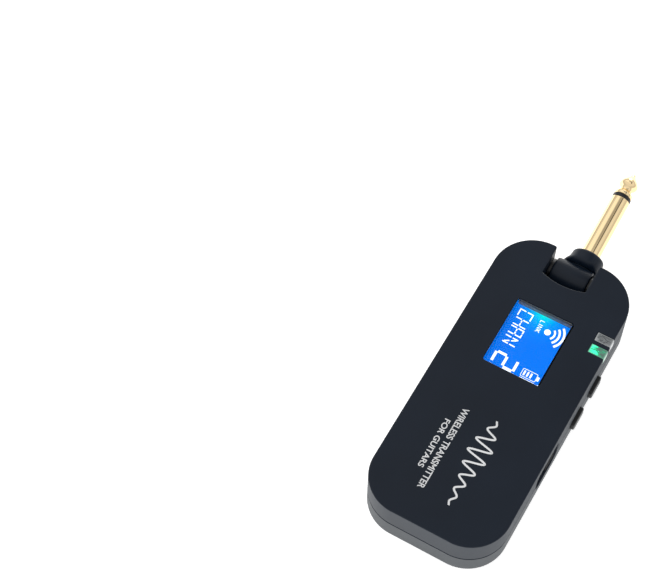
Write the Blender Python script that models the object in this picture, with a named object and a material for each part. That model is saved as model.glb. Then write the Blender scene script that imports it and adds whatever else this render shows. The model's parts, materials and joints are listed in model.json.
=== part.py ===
"""Pocket wireless guitar transmitter with a swivelling jack plug.

Frame: metres, +X towards the button side, +Y towards the plug, +Z up.  The origin is the centre
of the housing's underside.  Every object is one closed solid and one separate physical piece.
"""
import math

import bmesh
import bpy
from mathutils import Matrix, Vector

MM = 0.001

# ---- driving dimensions: housing -----------------------------------------------------------------
WIDTH = 45.0 * MM
LENGTH = 105.0 * MM
HEIGHT = 17.4 * MM
NEAR_RADIUS = 13.0 * MM
FAR_RADIUS = 13.8 * MM
PARTING_Z = 8.0 * MM
GAP = 0.3 * MM
WALL = 1.8 * MM
PLATE = 1.6 * MM
TOP_ROUND = 0.55 * MM
BOTTOM_ROUND = 1.0 * MM
ARC_STEPS = 14
UP = (0, 0, 1)

HALF_W = WIDTH / 2
HALF_L = LENGTH / 2
INNER_X = HALF_W - WALL
CEILING_Z = HEIGHT - PLATE

# ---- plug swivel ---------------------------------------------------------------------------------
NOTCH_HALF = 7.4 * MM
NOTCH_Y = 40.6 * MM
NOTCH_BOW = 1.2 * MM
HINGE_Y = 48.4 * MM
HINGE_Z = 8.7 * MM
PLUG_TILT = math.radians(8.0)
PLUG_X = 1.8 * MM
BARREL_HALF = 6.1 * MM
BARREL_R = 5.5 * MM
BARREL_CROWN = 0.35 * MM
BARREL_FLAT = 0.84
BARREL_EDGE = 0.45 * MM
COLLAR_R = 5.4 * MM
COLLAR_END = 10.0 * MM
COLLAR_ROUND = 1.1 * MM
BUSH_START = 4.6 * MM
BUSH_R = 3.33 * MM
BUSH_NECK_R = 2.2 * MM
BUSH_FLANGE_R = 2.9 * MM
BUSH_BORE_R = 1.6 * MM
BARREL_BORE_R = 3.4 * MM
WASHER_R = 4.2 * MM

# ---- quarter-inch jack plug, measured along its axis from the hinge ------------------------------
PLUG_R = 3.175 * MM
SLEEVE_END = 32.5 * MM
RING_END = 33.7 * MM
TIP_END = 43.0 * MM
SLEEVE_SEAT = 7.4 * MM
SLEEVE_BORE_R = 1.35 * MM
SHANK_START = 3.2 * MM
SHANK_R = 1.95 * MM
RING_NUT = (3.4 * MM, 4.15 * MM, 2.6 * MM)
ROD_R = 0.75 * MM

# ---- display -------------------------------------------------------------------------------------
WINDOW_X = 9.6 * MM
WINDOW_Y0 = 5.2 * MM
WINDOW_Y1 = 29.8 * MM
WINDOW_ROUND = 1.0 * MM
LENS_TOP = 17.15 * MM
LENS_STEP = 15.5 * MM
LENS_BASE = 14.3 * MM
LENS_LIP = 1.6 * MM
LENS_PLATE = 1.05 * MM
LCD_TOP = 13.9 * MM
LCD_BASE = 12.6 * MM

# ---- status windows on the right edge ------------------------------------------------------------
PIPE_X0 = 17.1 * MM
PIPE_Z0 = 14.0 * MM
PIPES = {"light_pipe_link": (23.3 * MM, 26.5 * MM), "light_pipe_battery": (27.9 * MM, 31.0 * MM)}

# ---- buttons and power slider on the right side --------------------------------------------------
BUTTON_Y = {"channel_up": 18.65 * MM, "channel_down": 6.35 * MM}
BUTTON_Z = 7.2 * MM
BUTTON_LENGTH = 7.0 * MM
BUTTON_HEIGHT = 4.0 * MM
BUTTON_PROUD = 1.3 * MM
BUTTON_FIT = 0.25 * MM
SCOOP_Y0 = -20.6 * MM
SCOOP_Y1 = -6.1 * MM
SCOOP_Z0 = 4.8 * MM
SCOOP_Z1 = 13.4 * MM
SCOOP_DEPTH = 1.6 * MM
SLIDER_Z = 8.0 * MM
SLIDER_CAP_Z0 = 6.0 * MM
SLIDER_CAP_Z1 = 11.8 * MM
SLIDER_Y = -11.2 * MM
SLIDER_TRAVEL = 2.5 * MM

# ---- underside -----------------------------------------------------------------------------------
DOCK_X = 6.9 * MM
DOCK_Y0 = -47.5 * MM
DOCK_Y1 = -3.5 * MM
DOCK_DEPTH = 1.6 * MM
DOCK_FLOOR = 3.0 * MM
CONTACT_PITCH = 2.54 * MM
CONTACT_R = 0.75 * MM
CONTACT_Y = -9.0 * MM
STUD_Y = -36.0 * MM
STUD_R = 3.2 * MM
LABEL_Y0 = 6.0 * MM
LABEL_Y1 = 30.0 * MM
LABEL_X = 15.0 * MM
LABEL_DEPTH = 0.45 * MM

# ---- fasteners -----------------------------------------------------------------------------------
SCREW_PLACES = [(-16.5 * MM, -38.5 * MM), (16.5 * MM, -38.5 * MM), (-15.0 * MM, 42.0 * MM),
                (15.0 * MM, 42.0 * MM)]
BOARD_SCREW_PLACES = [(-16.6 * MM, 22.0 * MM), (-16.6 * MM, -14.0 * MM)]
BOSS_R = 2.6 * MM
PILOT_R = 1.05 * MM
SHANK_SCREW_R = 0.8 * MM
HEAD_R = 1.9 * MM
HEAD_POCKET_R = 2.2 * MM
HEAD_POCKET = 2.4 * MM

# ---- inner stack ---------------------------------------------------------------------------------
BOARD_Z0 = 10.0 * MM
BOARD_Z1 = 11.0 * MM
BOARD_X = 19.2 * MM
BOARD_Y0 = -45.0 * MM
BOARD_Y1 = 36.5 * MM
ON_BOARD = BOARD_Z1 + GAP
UNDER_BOARD = BOARD_Z0 - GAP
BATTERY = (13.2 * MM, -42.0 * MM, -5.0 * MM, 4.6 * MM, 8.9 * MM)


# ---- small modelling tools -----------------------------------------------------------------------
def material(name, colour, roughness, metallic=0.0, transmission=0.0):
    """A Principled BSDF material in one colour."""
    found = bpy.data.materials.get(name)
    if found:
        return found
    made = bpy.data.materials.new(name)
    made.use_nodes = True
    shader = made.node_tree.nodes["Principled BSDF"]
    shader.inputs["Base Color"].default_value = (*colour, 1.0)
    shader.inputs["Roughness"].default_value = roughness
    shader.inputs["Metallic"].default_value = metallic
    shader.inputs["Transmission Weight"].default_value = transmission
    made.diffuse_color = (*colour, 1.0)
    return made


def finish_mesh(name, bm, look=None, smooth=35.0, parent=None):
    """Turns a bmesh into a named object with outward faces."""
    bmesh.ops.remove_doubles(bm, verts=bm.verts, dist=1e-7)
    bmesh.ops.recalc_face_normals(bm, faces=bm.faces)
    mesh = bpy.data.meshes.new(name)
    bm.to_mesh(mesh)
    bm.free()
    mesh.shade_smooth()
    mesh.set_sharp_from_angle(angle=math.radians(smooth))
    obj = bpy.data.objects.new(name, mesh)
    bpy.context.scene.collection.objects.link(obj)
    if look:
        mesh.materials.append(look)
    obj.parent = parent
    return obj


def loft(name, rings, look=None, closed=False, smooth=35.0, parent=None):
    """Skins rings of equal count.  Open stacks are capped, a closed stack joins end to start."""
    bm = bmesh.new()
    loops = [[bm.verts.new(point) for point in ring] for ring in rings]
    count = len(loops[0])
    pairs = list(zip(loops, loops[1:]))
    if closed:
        pairs.append((loops[-1], loops[0]))
    for lower, upper in pairs:
        for i in range(count):
            j = (i + 1) % count
            bm.faces.new((lower[i], lower[j], upper[j], upper[i]))
    if not closed:
        bm.faces.new(loops[0])
        bm.faces.new(loops[-1])
    return finish_mesh(name, bm, look, smooth, parent)


def prism(name, outline, z0, z1, look=None, parent=None):
    """Vertical extrusion of an (x, y) outline."""
    return loft(name, [[(x, y, z) for x, y in outline] for z in (z0, z1)], look, parent=parent)


def block(name, x0, x1, y0, y1, z0, z1, look=None, parent=None):
    """Axis-aligned block."""
    return prism(name, [(x0, y0), (x1, y0), (x1, y1), (x0, y1)], z0, z1, look, parent)


def rounded_block(name, x0, x1, y0, y1, z0, z1, radius, look=None, parent=None):
    """Block whose vertical edges are rounded."""
    outline = rounded_outline(x0, x1, y0, y1, radius, radius, 0.0, 5)
    return prism(name, outline, z0, z1, look, parent)


def rounded_outline(x0, x1, y0, y1, near_radius, far_radius, inset=0.0, steps=ARC_STEPS):
    """Rounded rectangle, counter-clockwise, with its own radius at the near and far corners."""
    corners = [(x1, y0, near_radius, -90), (x1, y1, far_radius, 0), (x0, y1, far_radius, 90),
               (x0, y0, near_radius, 180)]
    points = []
    for cx, cy, radius, start in corners:
        ox = cx - math.copysign(radius, cx - (x0 + x1) / 2)
        oy = cy - math.copysign(radius, cy - (y0 + y1) / 2)
        for step in range(steps + 1):
            angle = math.radians(start + 90 * step / steps)
            reach = radius - inset
            points.append((ox + reach * math.cos(angle), oy + reach * math.sin(angle)))
    return points


def side_prism(name, y0, y1, z0, z1, radius, x0, x1, look=None, parent=None, steps=5):
    """Block along X whose ends in the YZ plane are rounded."""
    outline = rounded_outline(y0, y1, z0, z1, radius, radius, 0.0, steps)
    return loft(name, [[(x, y, z) for y, z in outline] for x in (x0, x1)], look, parent=parent)


def turned(name, profile, origin, direction, look=None, closed=False, steps=40, smooth=35.0, parent=None):
    """Turned solid: profile is (distance along, radius); a closed profile makes a tube."""
    axis = Vector(direction).normalized()
    side = axis.orthogonal().normalized()
    other = axis.cross(side)
    rings = []
    for along, radius in profile:
        centre = Vector(origin) + axis * along
        ring = []
        for step in range(steps):
            angle = 2 * math.pi * step / steps
            ring.append(centre + radius * (math.cos(angle) * side + math.sin(angle) * other))
        rings.append(ring)
    return loft(name, rings, look, closed, smooth, parent)


def tube(name, start, end, outer, inner, origin, direction, look=None, steps=40, parent=None):
    """Plain tube between two distances along an axis."""
    profile = [(start, inner), (start, outer), (end, outer), (end, inner)]
    return turned(name, profile, origin, direction, look, True, steps, parent=parent)


def combine(target, tool, operation):
    """Exact Boolean that is applied at once; the tool is used up."""
    modifier = target.modifiers.new("combine", "BOOLEAN")
    modifier.solver = "EXACT"
    modifier.operation = operation
    modifier.object = tool
    bpy.context.view_layer.update()
    graph = bpy.context.evaluated_depsgraph_get()
    made = bpy.data.meshes.new_from_object(target.evaluated_get(graph))
    target.modifiers.clear()
    target.data = made
    bpy.data.objects.remove(tool)
    return target


def cut(target, *tools):
    for tool in tools:
        combine(target, tool, "DIFFERENCE")
    return target


def add(target, *tools):
    for tool in tools:
        combine(target, tool, "UNION")
    return target


def reshade(obj, look, angle=35.0):
    """One material and crisp edges after the Booleans."""
    obj.data.materials.clear()
    obj.data.materials.append(look)
    obj.data.shade_smooth()
    obj.data.set_sharp_from_angle(angle=math.radians(angle))
    return obj


# ---- housing -------------------------------------------------------------------------------------
def housing_ring(z, inset):
    outline = rounded_outline(-HALF_W, HALF_W, -HALF_L, HALF_L, NEAR_RADIUS, FAR_RADIUS, inset)
    return [(x, y, z) for x, y in outline]


def notch_outline(margin):
    """Slot for the swivel: straight sides and a near wall bowed towards the near end."""
    half = NOTCH_HALF + margin
    points = []
    for step in range(13):
        x = half * (2 * step / 12 - 1)
        points.append((x, NOTCH_Y - margin + NOTCH_BOW * (x / half) ** 2))
    beyond = HALF_L + 5 * MM
    return points + [(half, beyond), (-half, beyond)]


def notch_tool():
    return prism("notch_tool", notch_outline(0.0), -5 * MM, HEIGHT + 5 * MM)


def cavity_tool(z0, z1):
    """Inside of a shell, leaving the walls around the notch."""
    inside = loft("cavity_tool", [housing_ring(z, WALL) for z in (z0, z1)])
    keep = prism("cavity_keep", notch_outline(WALL), z0 - MM, z1 + MM)
    return cut(inside, keep)


def button_tool(y):
    half = BUTTON_LENGTH / 2 + BUTTON_FIT
    rise = BUTTON_HEIGHT / 2 + BUTTON_FIT
    return side_prism("button_tool", y - half, y + half, BUTTON_Z - rise, BUTTON_Z + rise, 1.2 * MM,
                      INNER_X - MM, HALF_W + MM)


def scoop_tool():
    return side_prism("scoop_tool", SCOOP_Y0, SCOOP_Y1, SCOOP_Z0, SCOOP_Z1, 2.5 * MM,
                      HALF_W - SCOOP_DEPTH, HALF_W + MM, steps=8)


def slider_slot_tool():
    return block("slider_slot", INNER_X - 3 * MM, HALF_W, SLIDER_Y - 1.2 * MM - SLIDER_TRAVEL,
                 SLIDER_Y + 1.2 * MM, SLIDER_Z - 1.1 * MM, SLIDER_Z + 1.1 * MM)


def scoop_backing(z0, z1):
    """Thickened wall behind the slider's scoop."""
    return block("scoop_backing", INNER_X - 1.1 * MM, INNER_X + 0.5 * MM, SCOOP_Y0 - MM, SCOOP_Y1 + MM,
                 z0, z1)


def bush_tools():
    """Stepped seats for the hinge bushes in the walls beside the notch."""
    wall_end = NOTCH_HALF + WALL
    profile = [(NOTCH_HALF - MM, BUSH_NECK_R + GAP), (wall_end, BUSH_NECK_R + GAP),
               (wall_end, BUSH_FLANGE_R + GAP), (wall_end + 1.4 * MM, BUSH_FLANGE_R + GAP)]
    return [turned("bush_tool", profile, (0, HINGE_Y, HINGE_Z), (side, 0, 0)) for side in (-1, 1)]


def side_openings():
    tools = [button_tool(y) for y in BUTTON_Y.values()]
    return tools + [scoop_tool(), slider_slot_tool()] + bush_tools()


def upper_shell(look):
    base = PARTING_Z + GAP / 2
    rings = [housing_ring(base, 0.0)]
    for step in range(5):
        angle = math.radians(90 * step / 4)
        rings.append(housing_ring(HEIGHT - TOP_ROUND * (1 - math.sin(angle)),
                                  TOP_ROUND * (1 - math.cos(angle))))
    shell = loft("upper_shell", rings)
    cut(shell, cavity_tool(base - MM, CEILING_Z), notch_tool())
    for x, y in SCREW_PLACES:
        add(shell, turned("boss", [(0, BOSS_R), (CEILING_Z + 0.5 * MM - base, BOSS_R)], (x, y, base), UP,
                          steps=24))
        cut(shell, turned("pilot", [(0, PILOT_R), (5.6 * MM, PILOT_R)], (x, y, base - MM), UP, steps=16))
    add(shell, scoop_backing(base, SCOOP_Z1 + MM))
    window = rounded_outline(-WINDOW_X, WINDOW_X, WINDOW_Y0, WINDOW_Y1, WINDOW_ROUND, WINDOW_ROUND, 0.0,
                             4)
    cut(shell, prism("window_tool", window, CEILING_Z - MM, HEIGHT + MM))
    for y0, y1 in PIPES.values():
        cut(shell, block("pipe_tool", PIPE_X0 - GAP, HALF_W + MM, y0 - GAP, y1 + GAP, PIPE_Z0 - GAP,
                         HEIGHT + MM))
    cut(shell, *side_openings())
    return reshade(shell, look)


def lower_shell(look):
    top = PARTING_Z - GAP / 2
    rings = []
    for step in range(5):
        angle = math.radians(90 * step / 4)
        rings.append(housing_ring(BOTTOM_ROUND * (1 - math.cos(angle)),
                                  BOTTOM_ROUND * (1 - math.sin(angle))))
    rings.append(housing_ring(top, 0.0))
    shell = loft("lower_shell", rings)
    cut(shell, cavity_tool(PLATE, top + MM), notch_tool())
    add(shell, block("dock_roof", -DOCK_X - WALL, DOCK_X + WALL, DOCK_Y0 - WALL, DOCK_Y1 + WALL,
                     PLATE - 0.5 * MM, DOCK_FLOOR))
    for x, y in SCREW_PLACES:
        add(shell, turned("boss", [(0, 3.2 * MM), (top - MM, 3.2 * MM)], (x, y, MM), UP, steps=24))
        cut(shell, turned("pocket", [(0, HEAD_POCKET_R), (HEAD_POCKET + MM, HEAD_POCKET_R)], (x, y, -MM),
                          UP, steps=24))
        cut(shell, turned("pass", [(0, 1.2 * MM), (12 * MM, 1.2 * MM)], (x, y, -MM), UP, steps=16))
    for x, y in BOARD_SCREW_PLACES:
        add(shell, turned("post", [(0, 2.2 * MM), (UNDER_BOARD - MM, 2.2 * MM)], (x, y, MM), UP,
                          steps=24))
        cut(shell, turned("pilot", [(0, 1.0 * MM), (9 * MM, 1.0 * MM)], (x, y, 4.0 * MM), UP, steps=16))
    add(shell, scoop_backing(SCOOP_Z0 - 1.2 * MM, top))
    dock = rounded_outline(-DOCK_X, DOCK_X, DOCK_Y0, DOCK_Y1, 2.5 * MM, 2.5 * MM, 0.0, 5)
    cut(shell, prism("dock_tool", dock, -MM, DOCK_DEPTH))
    add(shell, turned("stud", [(0, STUD_R), (DOCK_DEPTH - 0.2 * MM, STUD_R)], (0, STUD_Y, 0.6 * MM), UP,
                      steps=28))
    for index in range(4):
        place = (0, CONTACT_Y - index * CONTACT_PITCH, -MM)
        cut(shell, turned("contact_hole", [(0, CONTACT_R + 0.25 * MM), (6 * MM, CONTACT_R + 0.25 * MM)],
                          place, UP, steps=16))
    label = rounded_outline(-LABEL_X, LABEL_X, LABEL_Y0, LABEL_Y1, 1.5 * MM, 1.5 * MM, 0.0, 4)
    cut(shell, prism("label_tool", label, -MM, LABEL_DEPTH))
    cut(shell, *side_openings())
    return reshade(shell, look)


def rating_label(look):
    outline = rounded_outline(-LABEL_X + GAP, LABEL_X - GAP, LABEL_Y0 + GAP, LABEL_Y1 - GAP, 1.2 * MM,
                              1.2 * MM, 0.0, 4)
    return prism("blank_rating_label", outline, 0.1 * MM, LABEL_DEPTH - 0.15 * MM, look)


# ---- display -------------------------------------------------------------------------------------
def display(window_look, glass_look, light_look, holder_look, flex_look):
    fit = 0.2 * MM
    lens = prism("display_window", rounded_outline(-WINDOW_X + fit, WINDOW_X - fit, WINDOW_Y0 + fit,
                                                   WINDOW_Y1 - fit, WINDOW_ROUND, WINDOW_ROUND, 0.0, 4),
                                                   LENS_STEP - 0.1 * MM, LENS_TOP)
    add(lens, block("lens_lip", -WINDOW_X - LENS_LIP, WINDOW_X + LENS_LIP, WINDOW_Y0 - LENS_LIP,
                    WINDOW_Y1 + LENS_LIP, LENS_BASE, LENS_STEP))
    cut(lens, block("lens_hollow", -WINDOW_X + 0.9 * MM, WINDOW_X - 0.9 * MM, WINDOW_Y0 + 0.9 * MM,
                    WINDOW_Y1 - 0.9 * MM, LENS_BASE - MM, LENS_TOP - LENS_PLATE))
    reshade(lens, window_look)
    x, y0, y1 = WINDOW_X + 0.8 * MM, WINDOW_Y0 - 0.8 * MM, WINDOW_Y1 + 0.8 * MM
    block("lcd_glass", -x, x, y0, y1, LCD_BASE, LCD_TOP, glass_look)
    block("lcd_backlight", -x, x, y0, y1, ON_BOARD, LCD_BASE - GAP, light_look)
    holder = block("lcd_holder", -x - 1.1 * MM, x + 1.1 * MM, y0 - 1.1 * MM, y1 + 1.1 * MM, ON_BOARD,
                   LCD_TOP + 0.1 * MM)
    cut(holder, block("holder_tool", -x - GAP, x + GAP, y0 - GAP, y1 + GAP, ON_BOARD - MM, LCD_TOP + MM))
    reshade(holder, holder_look)
    block("lcd_flex", -5 * MM, 5 * MM, y1 + 1.4 * MM, y1 + 5.2 * MM, ON_BOARD, ON_BOARD + 0.3 * MM,
          flex_look)


def status_windows(clear_look, led_look):
    """Clear pieces that wrap over the right top edge, each over its own light on the board."""
    for name, (y0, y1) in PIPES.items():
        pipe = block(name, PIPE_X0, HALF_W - 0.02 * MM, y0, y1, PIPE_Z0, HEIGHT - 0.02 * MM)
        add(pipe, block("stem", PIPE_X0 + 0.3 * MM, PIPE_X0 + 2.1 * MM, y0 + 0.6 * MM, y1 - 0.6 * MM,
                        12.5 * MM, PIPE_Z0 + 0.5 * MM))
        cut(pipe, edge_round_tool(y0, y1))
        reshade(pipe, clear_look)
        block(name.replace("light_pipe", "led"), PIPE_X0 + 0.3 * MM, PIPE_X0 + 1.9 * MM, y0 + 0.8 * MM,
              y1 - 0.8 * MM, ON_BOARD, ON_BOARD + 0.8 * MM, led_look)


def edge_round_tool(y0, y1):
    """Removes what stands outside the housing's rounded top edge."""
    r = TOP_ROUND
    cx, cz = HALF_W - r, HEIGHT - r
    arc = [(cx + r * math.cos(a), cz + r * math.sin(a))
           for a in [math.radians(90 * s / 4) for s in range(5)]]
    outline = arc + [(cx, HEIGHT + MM), (HALF_W + MM, HEIGHT + MM), (HALF_W + MM, cz)]
    return loft("edge_tool", [[(x, y, z) for x, z in outline] for y in (y0 - MM, y1 + MM)])


# ---- side controls -------------------------------------------------------------------------------
def side_buttons(cap_look, switch_look, plunger_look):
    for name, y in BUTTON_Y.items():
        half, rise = BUTTON_LENGTH / 2, BUTTON_HEIGHT / 2
        outer = HALF_W + BUTTON_PROUD
        outline = rounded_outline(y - half, y + half, BUTTON_Z - rise, BUTTON_Z + rise, 1.0 * MM,
                                  1.0 * MM, 0.0, 5)
        crowned = rounded_outline(y - half, y + half, BUTTON_Z - rise, BUTTON_Z + rise, 1.0 * MM,
                                  1.0 * MM, 0.35 * MM, 5)
        rings = [[(x, a, b) for a, b in ring] for x, ring in
                 ((20.0 * MM, outline), (outer - 0.35 * MM, outline), (outer, crowned))]
        cap = loft(name + "_button", rings)
        add(cap, side_prism("flange", y - half - 0.9 * MM, y + half + 0.9 * MM, BUTTON_Z - 2.55 * MM,
                            BUTTON_Z + 2.55 * MM, 0.8 * MM, 19.6 * MM, INNER_X - GAP))
        reshade(cap, cap_look)
        turned(name + "_plunger", [(0, 0.8 * MM), (1.3 * MM, 0.8 * MM)], (18.0 * MM, y, BUTTON_Z),
               (1, 0, 0), plunger_look, steps=20)
        switch = block(name + "_tact_switch", 15.2 * MM, 18.3 * MM, y - 3.0 * MM, y + 3.0 * MM, 5.4 * MM,
                       UNDER_BOARD)
        cut(switch, turned("bore", [(0, 1.1 * MM), (2 * MM, 1.1 * MM)], (17.3 * MM, y, BUTTON_Z),
                           (1, 0, 0), steps=20))
        reshade(switch, switch_look)


def power_slider(knob_look, switch_look):
    floor_x = HALF_W - SCOOP_DEPTH
    knob = side_prism("power_slider", SLIDER_Y - 2.6 * MM, SLIDER_Y + 2.6 * MM, SLIDER_CAP_Z0,
                      SLIDER_CAP_Z1, 0.5 * MM, floor_x + GAP, floor_x + 1.35 * MM, steps=3)
    for step in range(3):
        y = SLIDER_Y + (step - 1) * 1.4 * MM
        cut(knob, block("grip", floor_x + 1.0 * MM, floor_x + 2 * MM, y - 0.25 * MM, y + 0.25 * MM,
                        SLIDER_CAP_Z0 - MM, SLIDER_CAP_Z1 + MM))
    add(knob, block("stem", 18.7 * MM, floor_x + 0.5 * MM, SLIDER_Y - 0.8 * MM, SLIDER_Y + 0.8 * MM,
                    SLIDER_Z - 0.7 * MM, SLIDER_Z + 0.7 * MM))
    reshade(knob, knob_look)
    body = block("power_switch", 15.0 * MM, 19.2 * MM, SLIDER_Y - 5.5 * MM, SLIDER_Y + 3.2 * MM,
                 6.0 * MM, UNDER_BOARD)
    cut(body, block("lever_slot", 18.3 * MM, 20 * MM, SLIDER_Y - 1.2 * MM - SLIDER_TRAVEL,
                    SLIDER_Y + 1.2 * MM, SLIDER_Z - 1.1 * MM, SLIDER_Z + 1.1 * MM))
    reshade(body, switch_look)


# ---- electronics ---------------------------------------------------------------------------------
def main_board(look):
    board = prism("main_board", rounded_outline(-BOARD_X, BOARD_X, BOARD_Y0, BOARD_Y1, 8 * MM, 2 * MM,
                                                0.0, 6), BOARD_Z0, BOARD_Z1)
    for x, y in SCREW_PLACES[:2]:
        cut(board, turned("clear", [(0, BOSS_R + 0.4 * MM), (4 * MM, BOSS_R + 0.4 * MM)],
                          (x, y, BOARD_Z0 - MM), UP, steps=24))
    for x, y in BOARD_SCREW_PLACES:
        cut(board, turned("hole", [(0, 1.2 * MM), (4 * MM, 1.2 * MM)], (x, y, BOARD_Z0 - MM), UP,
                          steps=16))
    return reshade(board, look)


def shield_can(look):
    """Pressed tin lid over the radio, open underneath, with vent holes."""
    can = rounded_block("rf_shield_can", -15.5 * MM, -2.5 * MM, -33 * MM, -17 * MM, ON_BOARD, 13.7 * MM,
                        0.6 * MM)
    cut(can, block("can_inside", -15.2 * MM, -2.8 * MM, -32.7 * MM, -17.3 * MM, ON_BOARD - MM, 13.4 * MM))
    for column in range(3):
        for row in range(3):
            place = ((-12.5 + 3.5 * column) * MM, (-29 + 4 * row) * MM, 13 * MM)
            cut(can, turned("vent", [(0, 0.6 * MM), (2 * MM, 0.6 * MM)], place, UP, steps=12))
    return reshade(can, look)


def electronics(chip, tin, ceramic, foil, foam, white, contact_look, board_look):
    main_board(board_look)
    shield_can(tin)
    block("radio_chip", -12.5 * MM, -6.5 * MM, -28.5 * MM, -22.5 * MM, ON_BOARD, ON_BOARD + 0.9 * MM,
          chip)
    block("controller_chip", 2.0 * MM, 9.0 * MM, -31 * MM, -24 * MM, ON_BOARD, ON_BOARD + 1.0 * MM, chip)
    block("audio_converter_chip", 3.0 * MM, 9.0 * MM, -17 * MM, -11 * MM, ON_BOARD, ON_BOARD + 1.0 * MM,
          chip)
    block("chip_antenna", -8 * MM, 4 * MM, -43.5 * MM, -40.5 * MM, ON_BOARD, ON_BOARD + 1.4 * MM, ceramic)
    x, y0, y1, z0, z1 = BATTERY
    side_prism("battery_cell", y0, y1, z0, z1, 1.6 * MM, -x, x, foil)
    block("battery_foam", -10 * MM, 10 * MM, y0 + 4 * MM, y1 - 4 * MM, z1 + GAP, UNDER_BOARD, foam)
    block("battery_connector", 8.0 * MM, 13.0 * MM, -39.6 * MM, -35 * MM, ON_BOARD, 13.6 * MM, white)
    contact_board = block("contact_board", -4.5 * MM, 4.5 * MM, CONTACT_Y - 4 * CONTACT_PITCH,
                          CONTACT_Y + 3 * MM, DOCK_FLOOR + GAP, DOCK_FLOOR + 1.1 * MM, board_look)
    for index in range(4):
        y = CONTACT_Y - index * CONTACT_PITCH
        turned("charge_contact_%d" % (index + 1), [(0, CONTACT_R), (DOCK_FLOOR - 1.3 * MM, CONTACT_R)],
               (0, y, 1.3 * MM), (0, 0, 1), contact_look, steps=18)
    return contact_board


def lead(name, points, radius, look):
    """Insulated wire along a smooth route through hand-placed points."""
    curve = bpy.data.curves.new(name, "CURVE")
    curve.dimensions = "3D"
    curve.bevel_depth = radius
    curve.bevel_resolution = 2
    curve.use_fill_caps = True
    route = smooth_route([Vector(p) * MM for p in points], 5)
    spline = curve.splines.new("POLY")
    spline.points.add(len(route) - 1)
    for slot, point in zip(spline.points, route):
        slot.co = (*point, 1.0)
    obj = bpy.data.objects.new(name, curve)
    bpy.context.scene.collection.objects.link(obj)
    curve.materials.append(look)
    return obj


def smooth_route(points, steps):
    """Catmull-Rom curve through the points."""
    route = []
    padded = [points[0] * 2 - points[1]] + points + [points[-1] * 2 - points[-2]]
    for a, b, c, d in zip(padded, padded[1:], padded[2:], padded[3:]):
        for step in range(steps):
            t = step / steps
            square = (2 * a - 5 * b + 4 * c - d) * t ** 2
            cube = (3 * b - a - 3 * c + d) * t ** 3
            route.append(0.5 * (2 * b + (c - a) * t + square + cube))
    return route + [points[-1]]


def leads(red, grey):
    battery_route = [(6, -42.6, 6.8), (6.2, -45.5, 6.9), (7.4, -47.6, 8.4), (8.6, -47.8, 10.6),
                     (9.6, -46, 12.3), (10.2, -43, 12.5), (10.5, -40, 12.5)]
    lead("battery_lead", battery_route, 0.8 * MM, red)
    plug_route = [(3.4, 48.4, 8.7), (6, 48.4, 8.7), (9, 48.4, 8.7), (10.8, 48.1, 8.7), (11.7, 46, 8.9),
                  (11.5, 42.5, 10), (11.2, 39.5, 12), (11.2, 36.5, 12.6), (11.2, 34.5, 12.2)]
    lead("plug_coax_lead", plug_route, 0.9 * MM, grey)


# ---- fasteners -----------------------------------------------------------------------------------
def screw(name, x, y, head_z, tip_z, look):
    """Cross-head self-tapping screw whose head faces away from its tip."""
    up = 1 if tip_z > head_z else -1
    reach = abs(tip_z - head_z)
    profile = [(0, 0.5 * MM), (0.02 * MM, HEAD_R - 0.4 * MM), (0.4 * MM, HEAD_R), (1.1 * MM, HEAD_R),
               (1.15 * MM, SHANK_SCREW_R), (reach - 0.8 * MM, SHANK_SCREW_R), (reach, 0.25 * MM)]
    made = turned(name, profile, (x, y, head_z), (0, 0, up), steps=24)
    for long_x, long_y in ((1.1 * MM, 0.22 * MM), (0.22 * MM, 1.1 * MM)):
        low = min(head_z - up * MM, head_z + up * 0.6 * MM)
        cut(made, block("cross", x - long_x, x + long_x, y - long_y, y + long_y, low, low + 1.6 * MM))
    return reshade(made, look)


def fasteners(look):
    names = ("near_left", "near_right", "far_left", "far_right")
    for name, (x, y) in zip(names, SCREW_PLACES):
        screw("housing_screw_" + name, x, y, 0.25 * MM, 11.6 * MM, look)
    for index, (x, y) in enumerate(BOARD_SCREW_PLACES):
        screw("board_screw_%d" % (index + 1), x, y, BOARD_Z1 + 1.45 * MM, 5.5 * MM, look)


# ---- swivel plug ---------------------------------------------------------------------------------
def barrel_ring(x, radius):
    """Round section with a flat far side, whose two edges are rounded."""
    inner = radius - BARREL_EDGE
    flat = radius * BARREL_FLAT - BARREL_EDGE
    turn = math.acos(flat / inner)
    points = []
    for step in range(45):
        angle = turn + (2 * math.pi - 2 * turn) * step / 44
        points.append((x, radius * math.cos(angle), radius * math.sin(angle)))
    for side in (-1, 1):
        for step in range(1, 5):
            angle = turn * (step / 5 - (1 if side < 0 else 0))
            points.append((x, flat + BARREL_EDGE * math.cos(angle),
                           side * inner * math.sin(turn) + BARREL_EDGE * math.sin(angle)))
    return points


def barrel_rings():
    """Barrel sections along X: widest in the middle, with softened ends."""
    end_radius = BARREL_R - BARREL_CROWN
    rings = [barrel_ring(-BARREL_HALF, end_radius - 0.3 * MM)]
    for step in range(13):
        share = 2 * step / 12 - 1
        rings.append(barrel_ring(share * (BARREL_HALF - 0.25 * MM), BARREL_R - BARREL_CROWN * share ** 2))
    return rings + [barrel_ring(BARREL_HALF, end_radius - 0.3 * MM)]


def collar_ring(along, x, half_width, half_height, lift):
    """Oval cross-section of the collar, a distance along the plug and raised by lift."""
    angles = [2 * math.pi * step / 56 for step in range(56)]
    return [(x + half_width * math.cos(a), along, lift + half_height * math.sin(a)) for a in angles]


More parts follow.
